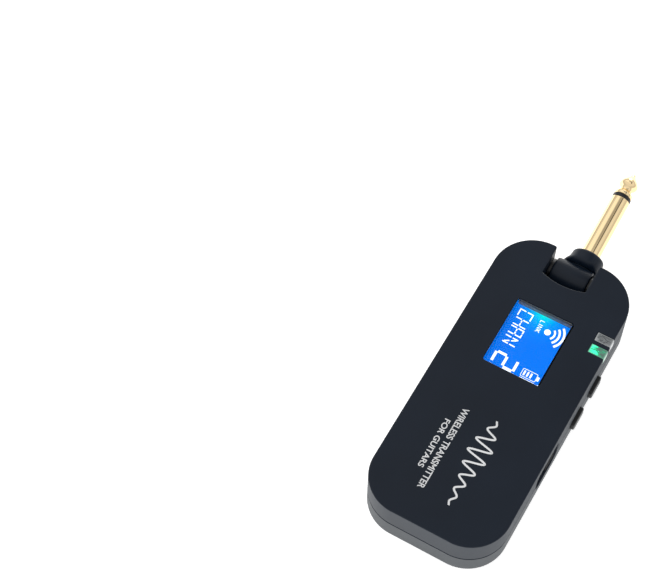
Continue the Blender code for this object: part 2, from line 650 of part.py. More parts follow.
def collar_sections():
    """Low inside the barrel, swelling behind its flat side to the round nose."""
    root = [(0.5, 0.85, 6.0, 3.2, -0.5), (4.7, 0.85, 6.0, 3.4, -0.4), (5.3, 0.97, 5.9, 4.7, -0.08),
            (5.8, 1.13, 5.8, 5.2, 0.0), (6.5, 1.42, 5.62, 5.4, 0.0), (7.2, 1.7, 5.5, 5.4, 0.0)]
    sections = [tuple(value * MM for value in section) for section in root]
    for step in range(6):
        angle = math.radians(90 * step / 5)
        radius = COLLAR_R - COLLAR_ROUND * (1 - math.cos(angle))
        sections.append((COLLAR_END - COLLAR_ROUND * (1 - math.sin(angle)), PLUG_X, radius, radius, 0.0))
    return sections


def knuckle(look, parent):
    """Moulded swivel: a crowned barrel on the hinge axis with the plug's collar growing out of it."""
    body = loft("plug_knuckle", barrel_rings(), parent=parent)
    add(body, loft("collar", [collar_ring(*section) for section in collar_sections()], parent=parent))
    washer_room = [(BARREL_HALF, 4.5 * MM), (8 * MM, 4.5 * MM)]
    hinge_bore = [(-8 * MM, BARREL_BORE_R), (8 * MM, BARREL_BORE_R)]
    shank_bore, seat = SHANK_R + GAP, SLEEVE_SEAT - GAP
    plug_bore = [(0, shank_bore), (seat, shank_bore), (seat, PLUG_R + 0.2 * MM),
                 (COLLAR_END + MM, PLUG_R + 0.2 * MM)]
    nut_pocket = [(0, RING_NUT[2] + 0.15 * MM), (RING_NUT[1] + 0.15 * MM, RING_NUT[2] + 0.15 * MM)]
    for name, profile, axis in (("washer_room", washer_room, (1, 0, 0)),
                                ("hinge_bore", hinge_bore, (1, 0, 0)),
                                ("plug_bore", plug_bore, (0, 1, 0)),
                                ("nut_pocket", nut_pocket, (0, 1, 0))):
        start = (PLUG_X, 0, 0) if axis[1] else (0, 0, 0)
        cut(body, turned(name, profile, start, axis, steps=40, parent=parent))
    return reshade(body, look)


def plug_tip_profile():
    """Neck and pointed ball of the plug tip, after the insulating ring."""
    start = RING_END + 0.15 * MM
    shape = [(0.0, 2.95), (0.8, 2.9), (1.5, 2.35), (2.1, 2.0), (2.6, 2.1), (3.1, 2.6), (3.6, 2.95),
             (4.1, 3.05), (4.7, 2.9), (5.3, 2.5), (5.9, 1.95), (6.5, 1.35), (7.0, 0.9), (7.5, 0.62),
             (7.9, 0.45), (8.05, 0.2)]
    reach = (TIP_END - start) / shape[-1][0]
    return [(start + along * reach, radius * MM) for along, radius in shape]


def jack_plug(gold, ring_look, parent):
    origin, axis = (PLUG_X, 0, 0), (0, 1, 0)
    sleeve = [(SHANK_START, SLEEVE_BORE_R), (SHANK_START, SHANK_R), (SLEEVE_SEAT, SHANK_R),
              (SLEEVE_SEAT, PLUG_R), (SLEEVE_END - 0.1 * MM, PLUG_R), (SLEEVE_END, PLUG_R - 0.1 * MM),
              (SLEEVE_END, SLEEVE_BORE_R)]
    turned("plug_sleeve", sleeve, origin, axis, gold, True, parent=parent)
    bore, tube_r, disc_r = 0.9 * MM, 1.2 * MM, 3.1 * MM
    insulator = [(2.6 * MM, bore), (2.6 * MM, tube_r), (SLEEVE_END + 0.15 * MM, tube_r),
                 (SLEEVE_END + 0.15 * MM, disc_r), (RING_END, disc_r), (RING_END, bore)]
    turned("plug_insulator", insulator, origin, axis, ring_look, True, parent=parent)
    tip = [(1.6 * MM, ROD_R), (RING_END + 0.14 * MM, ROD_R)] + plug_tip_profile()
    turned("plug_tip", tip, origin, axis, gold, parent=parent)
    start, end, radius = RING_NUT
    tube("plug_ring_nut", start, end, radius, SHANK_R + 0.15 * MM, origin, axis, gold, 30, parent)


def hinge_pieces(bush_look, washer_look):
    for side, word in ((-1, "left"), (1, "right")):
        origin, axis = (0, HINGE_Y, HINGE_Z), (side, 0, 0)
        flange = NOTCH_HALF + WALL + GAP
        profile = [(BUSH_START, BUSH_BORE_R), (BUSH_START, BUSH_R), (NOTCH_HALF - GAP, BUSH_R),
                   (NOTCH_HALF - GAP, BUSH_NECK_R), (flange, BUSH_NECK_R), (flange, BUSH_FLANGE_R),
                   (flange + 0.8 * MM, BUSH_FLANGE_R), (flange + 0.8 * MM, BUSH_BORE_R)]
        turned("hinge_bush_" + word, profile, origin, axis, bush_look, True, 36)
        tube("friction_washer_" + word, BARREL_HALF + 0.25 * MM, NOTCH_HALF - 0.25 * MM, WASHER_R,
             BUSH_R + 0.25 * MM, origin, axis, washer_look, 36)


# ---- assembly ------------------------------------------------------------------------------------
def build():
    for old in list(bpy.data.objects):
        bpy.data.objects.remove(old)
    black = material("satin_black_plastic", (0.018, 0.021, 0.027), 0.42)
    gold = material("gold_plate", (0.83, 0.62, 0.30), 0.18, 1.0)
    dark = material("black_moulding", (0.010, 0.010, 0.012), 0.5)
    clear = material("clear_acrylic", (0.85, 0.88, 0.87), 0.08, 0.0, 0.9)
    blue = material("lcd_blue", (0.0, 0.22, 0.95), 0.2)
    diffuser = material("light_diffuser", (0.80, 0.82, 0.80), 0.5)
    steel = material("zinc_steel", (0.55, 0.55, 0.56), 0.35, 1.0)
    green_board = material("board_green", (0.02, 0.13, 0.06), 0.45)
    chip = material("chip_epoxy", (0.02, 0.02, 0.02), 0.6)
    foil = material("cell_foil", (0.55, 0.56, 0.58), 0.4, 0.6)
    foam = material("grey_foam", (0.12, 0.12, 0.12), 0.95)
    white = material("white_nylon", (0.75, 0.74, 0.70), 0.5)
    red = material("red_insulation", (0.5, 0.02, 0.02), 0.45)
    label = material("label_vinyl", (0.35, 0.36, 0.37), 0.5)
    polyimide = material("polyimide_film", (0.45, 0.20, 0.03), 0.35)

    upper_shell(black)
    lower_shell(black)
    rating_label(label)
    display(clear, blue, diffuser, dark, polyimide)
    status_windows(clear, diffuser)
    side_buttons(dark, chip, white)
    power_slider(dark, steel)
    electronics(chip, steel, white, foil, foam, white, gold, green_board)
    leads(red, dark)
    fasteners(steel)
    hinge_pieces(dark, dark)

    hinge = bpy.data.objects.new("plug_hinge_axis", None)
    hinge.location = (0, HINGE_Y, HINGE_Z)
    hinge.rotation_euler = (PLUG_TILT, 0, 0)
    bpy.context.scene.collection.objects.link(hinge)
    bpy.context.view_layer.update()
    knuckle(black, hinge)
    jack_plug(gold, dark, hinge)


build()
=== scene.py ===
"""Looks of the pocket wireless guitar transmitter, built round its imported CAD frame."""

import json
import math

import bmesh
import bpy
from mathutils import Matrix, Vector


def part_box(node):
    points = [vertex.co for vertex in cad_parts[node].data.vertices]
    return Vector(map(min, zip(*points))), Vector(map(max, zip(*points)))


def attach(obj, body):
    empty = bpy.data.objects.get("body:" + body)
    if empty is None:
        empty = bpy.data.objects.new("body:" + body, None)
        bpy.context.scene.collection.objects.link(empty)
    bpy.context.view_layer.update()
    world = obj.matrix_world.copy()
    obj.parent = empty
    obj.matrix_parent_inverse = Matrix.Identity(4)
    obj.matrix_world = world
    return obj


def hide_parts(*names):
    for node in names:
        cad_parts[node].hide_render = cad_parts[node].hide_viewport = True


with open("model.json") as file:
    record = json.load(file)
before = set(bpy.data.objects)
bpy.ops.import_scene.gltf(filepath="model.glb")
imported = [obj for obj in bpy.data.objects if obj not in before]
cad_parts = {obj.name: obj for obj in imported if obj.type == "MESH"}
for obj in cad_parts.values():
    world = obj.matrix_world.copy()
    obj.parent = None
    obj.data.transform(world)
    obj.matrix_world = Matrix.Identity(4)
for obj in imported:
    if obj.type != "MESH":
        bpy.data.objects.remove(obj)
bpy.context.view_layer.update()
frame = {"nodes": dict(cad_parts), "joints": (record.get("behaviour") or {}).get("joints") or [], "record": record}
MM = 0.001


def metres(rows):
    """Rows of millimetres as rows of metres."""
    return [tuple(value * MM for value in row) for row in rows]


# ---- places read from the frame ------------------------------------------------------------------
UPPER_LOW, UPPER_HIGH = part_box("upper_shell")
HALF_W = UPPER_HIGH[0]
HALF_L = UPPER_HIGH[1]
TOP = UPPER_HIGH[2]
SEAM = UPPER_LOW[2]
LCD_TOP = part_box("lcd_glass")[1][2]

HINGE = next(j for j in frame["joints"] if j["name"] == "plug_hinge")
HINGE_AT = Vector(HINGE["pos_m"])
PLUG_TILT = math.radians(8.0)
PLUG_PLACE = Matrix.Translation(HINGE_AT) @ Matrix.Rotation(PLUG_TILT, 4, "X")
PLUG_X = sum(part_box("plug_sleeve")[i][0] for i in (0, 1)) / 2
PLUG_R = (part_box("plug_sleeve")[1][0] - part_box("plug_sleeve")[0][0]) / 2

CONTACTS = ["charge_contact_%d" % number for number in (1, 2, 3, 4)]
HOUSING_SCREWS = ["housing_screw_" + at for at in ("near_left", "near_right", "far_left", "far_right")]

# ---- sizes of the housing, as in the CAD ---------------------------------------------------------
GAP = 0.3 * MM
LOWER_SEAM = SEAM - GAP
NEAR_RADIUS = 13.0 * MM
FAR_RADIUS = 13.8 * MM
NEAR_CORNERS = [(-HALF_W, -HALF_L, NEAR_RADIUS), (HALF_W, -HALF_L, NEAR_RADIUS)]
FAR_RIGHT = (HALF_W, HALF_L, FAR_RADIUS)
FAR_LEFT = (-HALF_W, HALF_L, FAR_RADIUS)
OUTLINE_STEPS = 20
WALL = 1.8 * MM
PLATE = 1.6 * MM
TOP_ROUND = 0.5 * MM
BOTTOM_ROUND = 1.0 * MM
BOTTOM_INSET = 0.98 * MM
SHELL_SHARP = 28.0
# (inset, distance from the parting line) of the groove between the shells.
SEAM_GROOVE = metres([(0.28, 0.0), (0.12, 0.05), (0.03, 0.14), (0.0, 0.24)])

NOTCH_HALF = 7.4 * MM
NOTCH_Y = 40.6 * MM
NOTCH_BOW = 1.2 * MM
NOTCH_LIP = 0.6 * MM
NOTCH_CORNER = 0.3 * MM
BOW_RADIUS = 20.0 * MM

WINDOW_X = 9.6 * MM
WINDOW_Y0 = 5.2 * MM
WINDOW_Y1 = 29.8 * MM
WINDOW_RADIUS = 0.8 * MM
WINDOW_EDGE = 0.22 * MM
PIPE_DEPTH = 3.45 * MM
PIPE_POCKET = 3.6 * MM
PIPE_CLEAR = 0.12 * MM

BUTTON_RISE = 2.0 * MM
BUTTON_FLANGE = 0.9 * MM
BUTTON_CLEAR = 0.2 * MM
BUTTON_SLOT_RISE = 2.2 * MM
BUTTON_SLOT_RADIUS = 1.1 * MM

# The scoop's (y0, y1, z0, z1), and (outward growth, depth) of its wall from the floor to past the mouth.
SCOOP = (-20.6 * MM, -6.1 * MM, 4.8 * MM, 13.4 * MM)
SCOOP_DEPTH = 1.6 * MM
SCOOP_RADIUS = 2.55 * MM
SCOOP_WALL = metres([
    (-0.45, 1.6), (-0.22, 1.48), (-0.05, 1.2), (0.05, 0.3), (0.12, 0.1), (0.3, 0.0), (0.3, -1.0)
])
SLIDER_Z = 8.0 * MM
SLIDER_SLOT_NEAR = 3.7 * MM
SLIDER_SLOT_FAR = 1.2 * MM
SLIDER_SLOT_RISE = 1.1 * MM

BUSH_BORE = 2.5 * MM
BUSH_SEAT = 3.2 * MM
BUSH_SEAT_DEPTH = 1.4 * MM

# The charging recess, and (inset, height) of its wall from below the underside up to its roof.
DOCK_X = 6.9 * MM
DOCK_Y0 = -47.5 * MM
DOCK_Y1 = -3.5 * MM
DOCK_RADIUS = 2.5 * MM
DOCK_FLOOR = 3.0 * MM
DOCK_WALL = metres([(-0.3, -1.0), (-0.3, 0.0), (-0.08, 0.1), (0.0, 0.3), (0.1, 1.3), (0.2, 1.5), (0.45, 1.6)])
# (height, radius) of the locating stud and of a screw pocket.
STUD_Y = -36.0 * MM
STUD = metres([(1.9, 3.2), (0.7, 3.15), (0.45, 3.0), (0.36, 2.7), (0.36, 1.2), (0.6, 0.9), (0.7, 0.3)])
SCREW_POCKET = metres([
    (-1.0, 2.4), (0.0, 2.4), (0.15, 2.22), (0.3, 2.18), (2.4, 2.18), (2.4, 1.1), (9.5, 1.1)
])
BOSS_R = 3.2 * MM
LABEL_CLEAR = 0.25 * MM
LABEL_RECESS = 0.45 * MM


# ---- mesh tools ----------------------------------------------------------------------------------
SHARP_ANGLE = 32.0
FLAT_FACE_WEIGHT = 90
# Each axis, with the two that a profile turned about it sweeps through.
TURN_AXES = {
    "X": ((1, 0, 0), (0, 1, 0), (0, 0, 1)),
    "Y": ((0, 1, 0), (0, 0, 1), (1, 0, 0)),
    "Z": ((0, 0, 1), (1, 0, 0), (0, 1, 0)),
}


def linked(name, data):
    """New object in the scene."""
    obj = bpy.data.objects.new(name, data)
    bpy.context.scene.collection.objects.link(obj)
    return obj


def mesh_from(name, bm):
    mesh = bpy.data.meshes.new(name)
    bm.to_mesh(mesh)
    bm.free()
    return mesh


def finish_mesh(name, bm, looks=(), smooth=SHARP_ANGLE):
    """Mesh object with outward faces and crisp edges."""
    bmesh.ops.remove_doubles(bm, verts=bm.verts, dist=1e-7)
    bmesh.ops.recalc_face_normals(bm, faces=bm.faces)
    return crisp(linked(name, mesh_from(name, bm)), looks, smooth)


def crisp(obj, looks=(), smooth=SHARP_ANGLE):
    """Sets materials and smooth shading with sharp edges above the angle."""
    if looks:
        obj.data.materials.clear()
        for look in looks:
            obj.data.materials.append(look)
    obj.data.shade_smooth()
    obj.data.set_sharp_from_angle(angle=math.radians(smooth))
    return obj


def weighted(obj):
    """Large flat faces keep flat normals next to fillets."""
    modifier = obj.modifiers.new("weighted_normals", "WEIGHTED_NORMAL")
    modifier.keep_sharp = True
    modifier.weight = FLAT_FACE_WEIGHT
    return obj


def loft(name, rings, looks=(), closed=False, smooth=SHARP_ANGLE):
    """Skins rings of equal count.  Open stacks are capped, a closed stack joins end to start."""
    bm = bmesh.new()
    loops = [[bm.verts.new(point) for point in ring] for ring in rings]
    count = len(loops[0])
    pairs = list(zip(loops, loops[1:]))
    if closed:
        pairs.append((loops[-1], loops[0]))
    for lower, upper in pairs:
        for i in range(count):
            j = (i + 1) % count
            bm.faces.new((lower[i], lower[j], upper[j], upper[i]))
    if not closed:
        bm.faces.new(loops[0])
        bm.faces.new(loops[-1])
    return finish_mesh(name, bm, looks, smooth)


def filleted(corners, inset=0.0, steps=12):
    """Outline of counter-clockwise (x, y, radius) corners, moved inwards with its fillets kept true."""
    points = []
    count = len(corners)
    for i in range(count):
        before = Vector(corners[i - 1][:2])
        here = Vector(corners[i][:2])
        after = Vector(corners[(i + 1) % count][:2])
        radius = corners[i][2]
        inward = (here - before).normalized()
        outward = (after - here).normalized()
        turn = math.atan2(inward.x * outward.y - inward.y * outward.x, inward.dot(outward))
        side = 1.0 if turn > 0 else -1.0
        if side > 0:
            radius = max(radius, inset + 0.05 * MM)
        reach = radius * math.tan(abs(turn) / 2)
        left = Vector((-inward.y, inward.x))
        centre = here - inward * reach + left * side * radius
        start = math.atan2(-left.y * side, -left.x * side)
        true = radius - side * inset
        for step in range(steps + 1):
            angle = start + turn * step / steps
            points.append((centre.x + true * math.cos(angle), centre.y + true * math.sin(angle)))
    return points


def four_corners(x0, x1, y0, y1, radius):
    """Rectangle as corners for filleted."""
    return [(x0, y0, radius), (x1, y0, radius), (x1, y1, radius), (x0, y1, radius)]


def box_corners(low, high, radius, axis=0, grow=0.0):
    """Outline of a box on the plane of an axis and the next one, as corners for filleted."""
    rise = axis + 1
    return four_corners(low[axis] - grow, high[axis] + grow, low[rise] - grow, high[rise] + grow, radius)


def level(outline, z):
    return [(x, y, z) for x, y in outline]


def across(outline, x):
    """The same outline stood up in the YZ plane."""
    return [(x, y, z) for y, z in outline]


def rings_of(place, corners, steps, rows):
    """Filleted outlines placed by level or across, from rows of (inset, height or x)."""
    return [place(filleted(corners, inset, steps), at) for inset, at in rows]


def fillet_profile(radius, steps=6):
    """(distance below the top, inset) pairs for a quarter-round edge."""
    pairs = []
    for step in range(steps + 1):
        angle = math.radians(90 * step / steps)
        pairs.append((radius * (1 - math.sin(angle)), radius * (1 - math.cos(angle))))
    return pairs


def circle(steps):
    """(cosine, sine) of equal steps round a circle."""
    angles = [2 * math.pi * step / steps for step in range(steps)]
    return [(math.cos(angle), math.sin(angle)) for angle in angles]


def turned(name, profile, looks=(), closed=False, steps=64, axis="Y", centre=(0, 0, 0), smooth=SHARP_ANGLE):
    """Turned solid along an axis: profile is (along, radius)."""
    main, side, other = (Vector(v) for v in TURN_AXES[axis])
    rings = []
    for along, radius in profile:
        middle = Vector(centre) + main * along
        rings.append([middle + radius * (c * side + s * other) for c, s in circle(steps)])
    return loft(name, rings, looks, closed, smooth)


def block(name, x0, x1, y0, y1, z0, z1):
    return loft(name, [level([(x0, y0), (x1, y0), (x1, y1), (x0, y1)], z) for z in (z0, z1)])


def as_mesh(obj):
    """The object's evaluated shape as a new mesh."""
    bpy.context.view_layer.update()
    graph = bpy.context.evaluated_depsgraph_get()
    return bpy.data.meshes.new_from_object(obj.evaluated_get(graph))


def combine(target, tool, operation="DIFFERENCE"):
    """Exact Boolean applied at once; the tool is used up."""
    modifier = target.modifiers.new("combine", "BOOLEAN")
    modifier.solver = "EXACT"
    modifier.operation = operation
    modifier.object = tool
    made = as_mesh(target)
    target.modifiers.clear()
    target.data = made
    bpy.data.objects.remove(tool)
    return target


# ---- material tools ------------------------------------------------------------------------------
BROAD_CELLS = 45.0
GLOSS_SWING = 0.04
# The display's blue, from far away from its hot spot to the middle of it.
HOT_SPOT = (-0.6 * MM, 29.9 * MM, LCD_TOP)
HOT_REACH = 11.0 * MM
PANEL_TONES = [
    (0.0, (0.0, 0.195, 0.97)), (0.32, (0.0, 0.225, 1.0)), (0.62, (0.0, 0.36, 1.0)),
    (0.82, (0.0, 0.66, 0.95)), (1.0, (0.0, 0.92, 0.86))
]
# Tones of the two status windows from their left end to their right end, and of the painted highlight on their
# rims.
GREEN_TONES = [
    (0.0, (0.10, 0.62, 0.36)), (0.18, (0.04, 0.88, 0.44)), (0.42, (0.03, 0.90, 0.42)),
    (0.52, (0.0, 0.16, 0.07)), (0.64, (0.02, 0.26, 0.13)), (0.8, (0.05, 0.12, 0.09)),
    (1.0, (0.05, 0.10, 0.08))
]
GREEN_RIM_HIGHLIGHT = (0.08, 0.22, 0.15)
GREY_TONES = [
    (0.0, (0.34, 0.36, 0.37)), (0.2, (0.07, 0.08, 0.085)), (0.36, (0.24, 0.255, 0.26)),
    (0.52, (0.05, 0.06, 0.065)), (0.7, (0.17, 0.18, 0.185)), (1.0, (0.24, 0.255, 0.26))
]
GREY_RIM_HIGHLIGHT = (0.46, 0.48, 0.49)


def set_inputs(node, values):
    """A node's inputs, as sockets to link or plain values."""
    for key, value in values.items():
        if isinstance(value, bpy.types.NodeSocket):
            node.id_data.links.new(value, node.inputs[key])
        else:
            node.inputs[key].default_value = value


def made(tree, kind, values, output):
    """One output of a new shader node with its inputs set."""
    node = tree.nodes.new("ShaderNode" + kind)
    set_inputs(node, values)
    return node.outputs[output]


def principled(name, roughness=0.5, metallic=0.0, specular=0.5):
    look = bpy.data.materials.new(name)
    look.use_nodes = True
    shader = look.node_tree.nodes["Principled BSDF"]
    set_inputs(shader, {"Roughness": roughness, "Metallic": metallic, "Specular IOR Level": specular})
    return look, look.node_tree, shader


def noise(tree, scale, detail=2.0, stretch=(1, 1, 1)):
    """Noise in the piece's own coordinates; scale is cells per metre."""
    place = made(tree, "Mapping", {"Vector": made(tree, "TexCoord", {}, "Object"), "Scale": stretch},
                 "Vector")
    return made(tree, "TexNoise", {"Vector": place, "Scale": scale, "Detail": detail}, "Fac")


def spread(tree, value, low, high, source=(0.3, 0.7)):
    """Maps a span of a value to a range."""
    values = {"Value": value, "From Min": source[0], "From Max": source[1], "To Min": low, "To Max": high}
    return made(tree, "MapRange", values, "Result")


def ramp(tree, value, stops):
    node = tree.nodes.new("ShaderNodeValToRGB")
    elements = node.color_ramp.elements
    while len(elements) < len(stops):
        elements.new(0.5)
    for element, (at, colour) in zip(elements, stops):
        element.position = at
        element.color = (*colour, 1.0)
    tree.links.new(value, node.inputs["Fac"])
    return node.outputs["Color"]


def two_tone(tree, value, dark, light):
    return ramp(tree, value, [(0.3, dark), (0.7, light)])


def relief(tree, shader, value, strength, depth):
    bump = made(tree, "Bump", {"Height": value, "Strength": strength, "Distance": depth}, "Normal")
    set_inputs(shader, {"Normal": bump})


def scaled(colour, factor):
    return tuple(min(1.0, c * factor) for c in colour)


def moulded(name, colour, roughness, specular=0.35, grain=1500.0, grain_depth=0.012 * MM, vary=0.12):
    """Moulded plastic: fine spark-eroded grain and faint unevenness of tone and gloss."""
    look, tree, shader = principled(name, roughness, 0.0, specular)
    broad = noise(tree, BROAD_CELLS, 3.0)
    fine = noise(tree, grain, 2.0)
    tone = two_tone(tree, broad, scaled(colour, 1 - vary), scaled(colour, 1 + vary))
    gloss = spread(tree, broad, roughness - GLOSS_SWING, roughness + GLOSS_SWING)
    set_inputs(shader, {"Base Color": tone, "Roughness": gloss})
    relief(tree, shader, fine, 0.35, grain_depth)
    return look


def metal(name, colour, roughness, stretch=(60, 2600, 60), depth=0.0006 * MM, vary=0.05):
    """Plated metal with faint turning or brushing lines across the stretched axis."""
    look, tree, shader = principled(name, roughness, 1.0)
    lines = noise(tree, 1.0, 3.0, stretch)
    cloud = noise(tree, 120.0, 2.0)
    tone = two_tone(tree, cloud, scaled(colour, 1 - vary), colour)
    gloss = spread(tree, lines, roughness - 0.03, roughness + 0.03)
    set_inputs(shader, {"Base Color": tone, "Roughness": gloss})
    relief(tree, shader, lines, 0.4, depth)
    return look


def calc(tree, operation, first, second, kind="Math"):
    """Result of a Math or VectorMath node on sockets or plain values."""
    node = tree.nodes.new("ShaderNode" + kind)
    node.operation = operation
    set_inputs(node, {0: first, 1: second})
    return node.outputs["Value"]


def position_axis(tree, axis):
    return made(tree, "SeparateXYZ", {"Vector": made(tree, "TexCoord", {}, "Object")}, axis)


def lit_panel():
    """Blue lit display: a cyan hot spot from the backlight at the far edge and a darker left side."""
    look, tree, shader = principled("lit_display", 0.35, 0.0, 0.05)
    away = calc(tree, "DISTANCE", made(tree, "TexCoord", {}, "Object"), HOT_SPOT, "VectorMath")
    glow = spread(tree, away, 1.0, 0.0, (0.0, HOT_REACH))
    ragged = calc(tree, "ADD", spread(tree, noise(tree, 700.0, 3.0), -0.05, 0.05), glow)
    tone = ramp(tree, ragged, PANEL_TONES)
    side = spread(tree, position_axis(tree, "X"), 0.86, 1.0, (-10 * MM, -3 * MM))
    set_inputs(shader, {"Base Color": (0.0, 0.01, 0.05, 1.0), "Emission Color": tone,
                        "Emission Strength": side})
    return look


def glowing(name, colour, strength):
    look, tree, shader = principled(name, 0.4, 0.0, 0.2)
    cloud = noise(tree, 400.0, 2.0)
    tone = two_tone(tree, cloud, scaled(colour, 0.94), colour)
    set_inputs(shader, {"Base Color": tone, "Emission Color": tone, "Emission Strength": strength})
    return look


def clear_lens():
    look, tree, shader = principled("clear_lens", 0.03, 0.0, 0.12)
    set_inputs(shader, {"Base Color": (0.97, 0.99, 0.99, 1.0), "Transmission Weight": 1.0, "IOR": 1.16})
    relief(tree, shader, noise(tree, 90.0, 1.0), 0.05, 0.002 * MM)
    return look


def from_middle(tree, axis, low, high):
    """Distance from the middle of a span, as a share of half its length."""
    shifted = calc(tree, "SUBTRACT", position_axis(tree, axis), (low + high) / 2)
    return calc(tree, "MULTIPLY", calc(tree, "ABSOLUTE", shifted, 0.0), 2 / (high - low))


def light_pipe(name, node, stops, border, emission, roughness):
    """Cloudy acrylic window: its tone runs along X with moulding streaks, and its rim has a painted highlight."""
    low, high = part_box(node)
    look, tree, shader = principled(name, roughness, 0.0, 0.5)
    streak = noise(tree, 1.0, 4.0, (420, 1500, 900))
    shift = spread(tree, streak, -2.2 * MM, 2.2 * MM)
    along = spread(tree, calc(tree, "ADD", position_axis(tree, "X"), shift), 0.0, 1.0, (low[0], high[0]))
    edge = calc(tree, "MAXIMUM", from_middle(tree, "X", low[0], high[0]),
                from_middle(tree, "Y", low[1], high[1]))
    mix = tree.nodes.new("ShaderNodeMix")
    mix.data_type = "RGBA"
    # Painted highlight: towards the rim the tone is mixed into the lighter rim colour.
    rim = spread(tree, edge, 0.0, 1.0, (0.80, 0.97))
    set_inputs(mix, {"Factor": rim, "A": ramp(tree, along, stops), "B": (*border, 1.0)})
    tone = mix.outputs["Result"]
    set_inputs(shader, {"Base Color": tone, "Coat Weight": 0.4, "Coat Roughness": 0.05})
    if emission:
        set_inputs(shader, {"Emission Color": tone, "Emission Strength": emission})
    return look


# ---- studio --------------------------------------------------------------------------------------
CAMERA_AT = Vector((76.163, -240.550, 500.949)) * MM
CAMERA_AZIMUTH = math.radians(29.88)
CAMERA_ELEVATION = math.radians(59.90)
CAMERA_LENS = 100.05
# Softboxes: place and width in metres, and power in watts.
KEY_SOFTBOX = ((-0.27, 0.25, 0.46), 0.42, 0.12)
RIM_SOFTBOX = ((-0.10, 0.80, 0.16), 0.30, 0.6)
# Brightness of the tent from straight down to straight up.
TENT_TONES = [(0.0, 0.9), (0.5, 0.95), (0.60, 0.62), (0.78, 0.90), (0.90, 0.84), (1.0, 0.98)]
# The tent's dark mouth is a slot about the direction TENT_MOUTH, narrow along MOUTH_ACROSS.
# Each EDGE is the span of distances from the middle over which the dark fades out.
TENT_MOUTH = (0.37, 0.285, 0.884)
MOUTH_ACROSS = (0.914, 0.056, -0.401)
MOUTH_SIDE_EDGE = (0.05, 0.11)
MOUTH_END_EDGE = (0.40, 0.55)
MOUTH_DARK = 0.08
TENT_SEAM = (0.05, 0.44, 0.89)
SEAM_EDGE = (0.10, 0.36)
SEAM_DARK = 0.45
FLOOR_GLOW = (1.1, 0.62)
FLOOR_GLOW_SPAN = (-70 * MM, 30 * MM)
FLOOR_REACH = 2.5
FLOOR_UNDERLAP = 2.5 * MM


def studio():
    scene = bpy.context.scene
    scene.view_settings.view_transform = "Standard"
    data = bpy.data.cameras.new("camera")
    data.lens = CAMERA_LENS
    data.sensor_width = 36.0
    data.clip_start = 0.01
    camera = linked("camera", data)
    azimuth, flat = CAMERA_AZIMUTH, math.cos(CAMERA_ELEVATION)
    right = Vector((math.cos(azimuth), math.sin(azimuth), 0))
    back = Vector((math.sin(azimuth) * flat, -math.cos(azimuth) * flat, math.sin(CAMERA_ELEVATION)))
    up = back.cross(right)
    place = Matrix((right, up, back)).transposed().to_4x4()
    place.translation = CAMERA_AT
    camera.matrix_world = place
    scene.camera = camera

    scene.world = studio_tent()
    soft_light("key_softbox", *KEY_SOFTBOX)
    soft_light("rim_softbox", *RIM_SOFTBOX)
    floor()


def studio_tent():
    """White light tent: bright low down, dimmer overhead, with the dark slot it is looked in through."""
    world = bpy.data.worlds.new("studio_tent")
    world.use_nodes = True
    tree = world.node_tree
    toward = made(tree, "TexCoord", {}, "Generated")
    height = spread(tree, made(tree, "SeparateXYZ", {"Vector": toward}, "Z"), 0.0, 1.0, (-1.0, 1.0))
    tone = ramp(tree, height, [(at, (grey, grey, grey)) for at, grey in TENT_TONES])
    across_slot = calc(tree, "DOT_PRODUCT", toward, MOUTH_ACROSS, "VectorMath")
    along_slot = calc(tree, "DISTANCE", toward, TENT_MOUTH, "VectorMath")
    beside = spread(tree, calc(tree, "ABSOLUTE", across_slot, 0.0), MOUTH_DARK, 1.0, MOUTH_SIDE_EDGE)
    beyond = spread(tree, along_slot, MOUTH_DARK, 1.0, MOUTH_END_EDGE)
    mouth = calc(tree, "MAXIMUM", beside, beyond)
    from_seam = calc(tree, "DISTANCE", toward, TENT_SEAM, "VectorMath")
    seam = spread(tree, from_seam, SEAM_DARK, 1.0, SEAM_EDGE)
    set_inputs(tree.nodes["Background"], {"Color": tone, "Strength": calc(tree, "MULTIPLY", mouth, seam)})
    return world


def soft_light(name, place, size, power):
    data = bpy.data.lights.new(name, "AREA")
    data.shape = "DISK"
    data.size = size
    data.energy = power
    lamp = linked(name, data)
    lamp.location = place
    lamp.rotation_mode = "QUATERNION"
    lamp.rotation_quaternion = Vector(place).to_track_quat("Z", "Y")


def floor():
    """Pale floor, faintly backlit from the left, open under the housing and see-through from below."""
    look, tree, shader = principled("pale_floor", 0.9, 0.0, 0.0)
    tone = two_tone(tree, noise(tree, 3.0, 1.0), (0.93, 0.93, 0.93), (0.95, 0.95, 0.95))
    glow = spread(tree, position_axis(tree, "X"), *FLOOR_GLOW, FLOOR_GLOW_SPAN)
    set_inputs(shader, {"Base Color": tone, "Emission Color": tone, "Emission Strength": glow})
    behind = made(tree, "NewGeometry", {}, "Backfacing")
    clear = made(tree, "BsdfTransparent", {}, "BSDF")
    mixed = made(tree, "MixShader", {"Fac": behind, 1: shader.outputs["BSDF"], 2: clear}, "Shader")
    set_inputs(tree.nodes["Material Output"], {"Surface": mixed})
    bm = bmesh.new()
    inner, outer = [], []
    for x, y in housing_outline(FLOOR_UNDERLAP):
        grow = FLOOR_REACH / math.hypot(x, y)
        inner.append(bm.verts.new((x, y, 0.0)))
        outer.append(bm.verts.new((grow * x, grow * y, 0.0)))
    for i in range(len(inner)):
        j = (i + 1) % len(inner)
        bm.faces.new((inner[i], outer[i], outer[j], inner[j]))
    obj = linked("floor", mesh_from("floor", bm))
    obj.data.materials.append(look)


# ---- housing -------------------------------------------------------------------------------------
def housing_outline(inset=0.0):
    """Plain rounded outline without the notch."""
    return filleted(NEAR_CORNERS + [FAR_RIGHT, FAR_LEFT], inset, OUTLINE_STEPS)


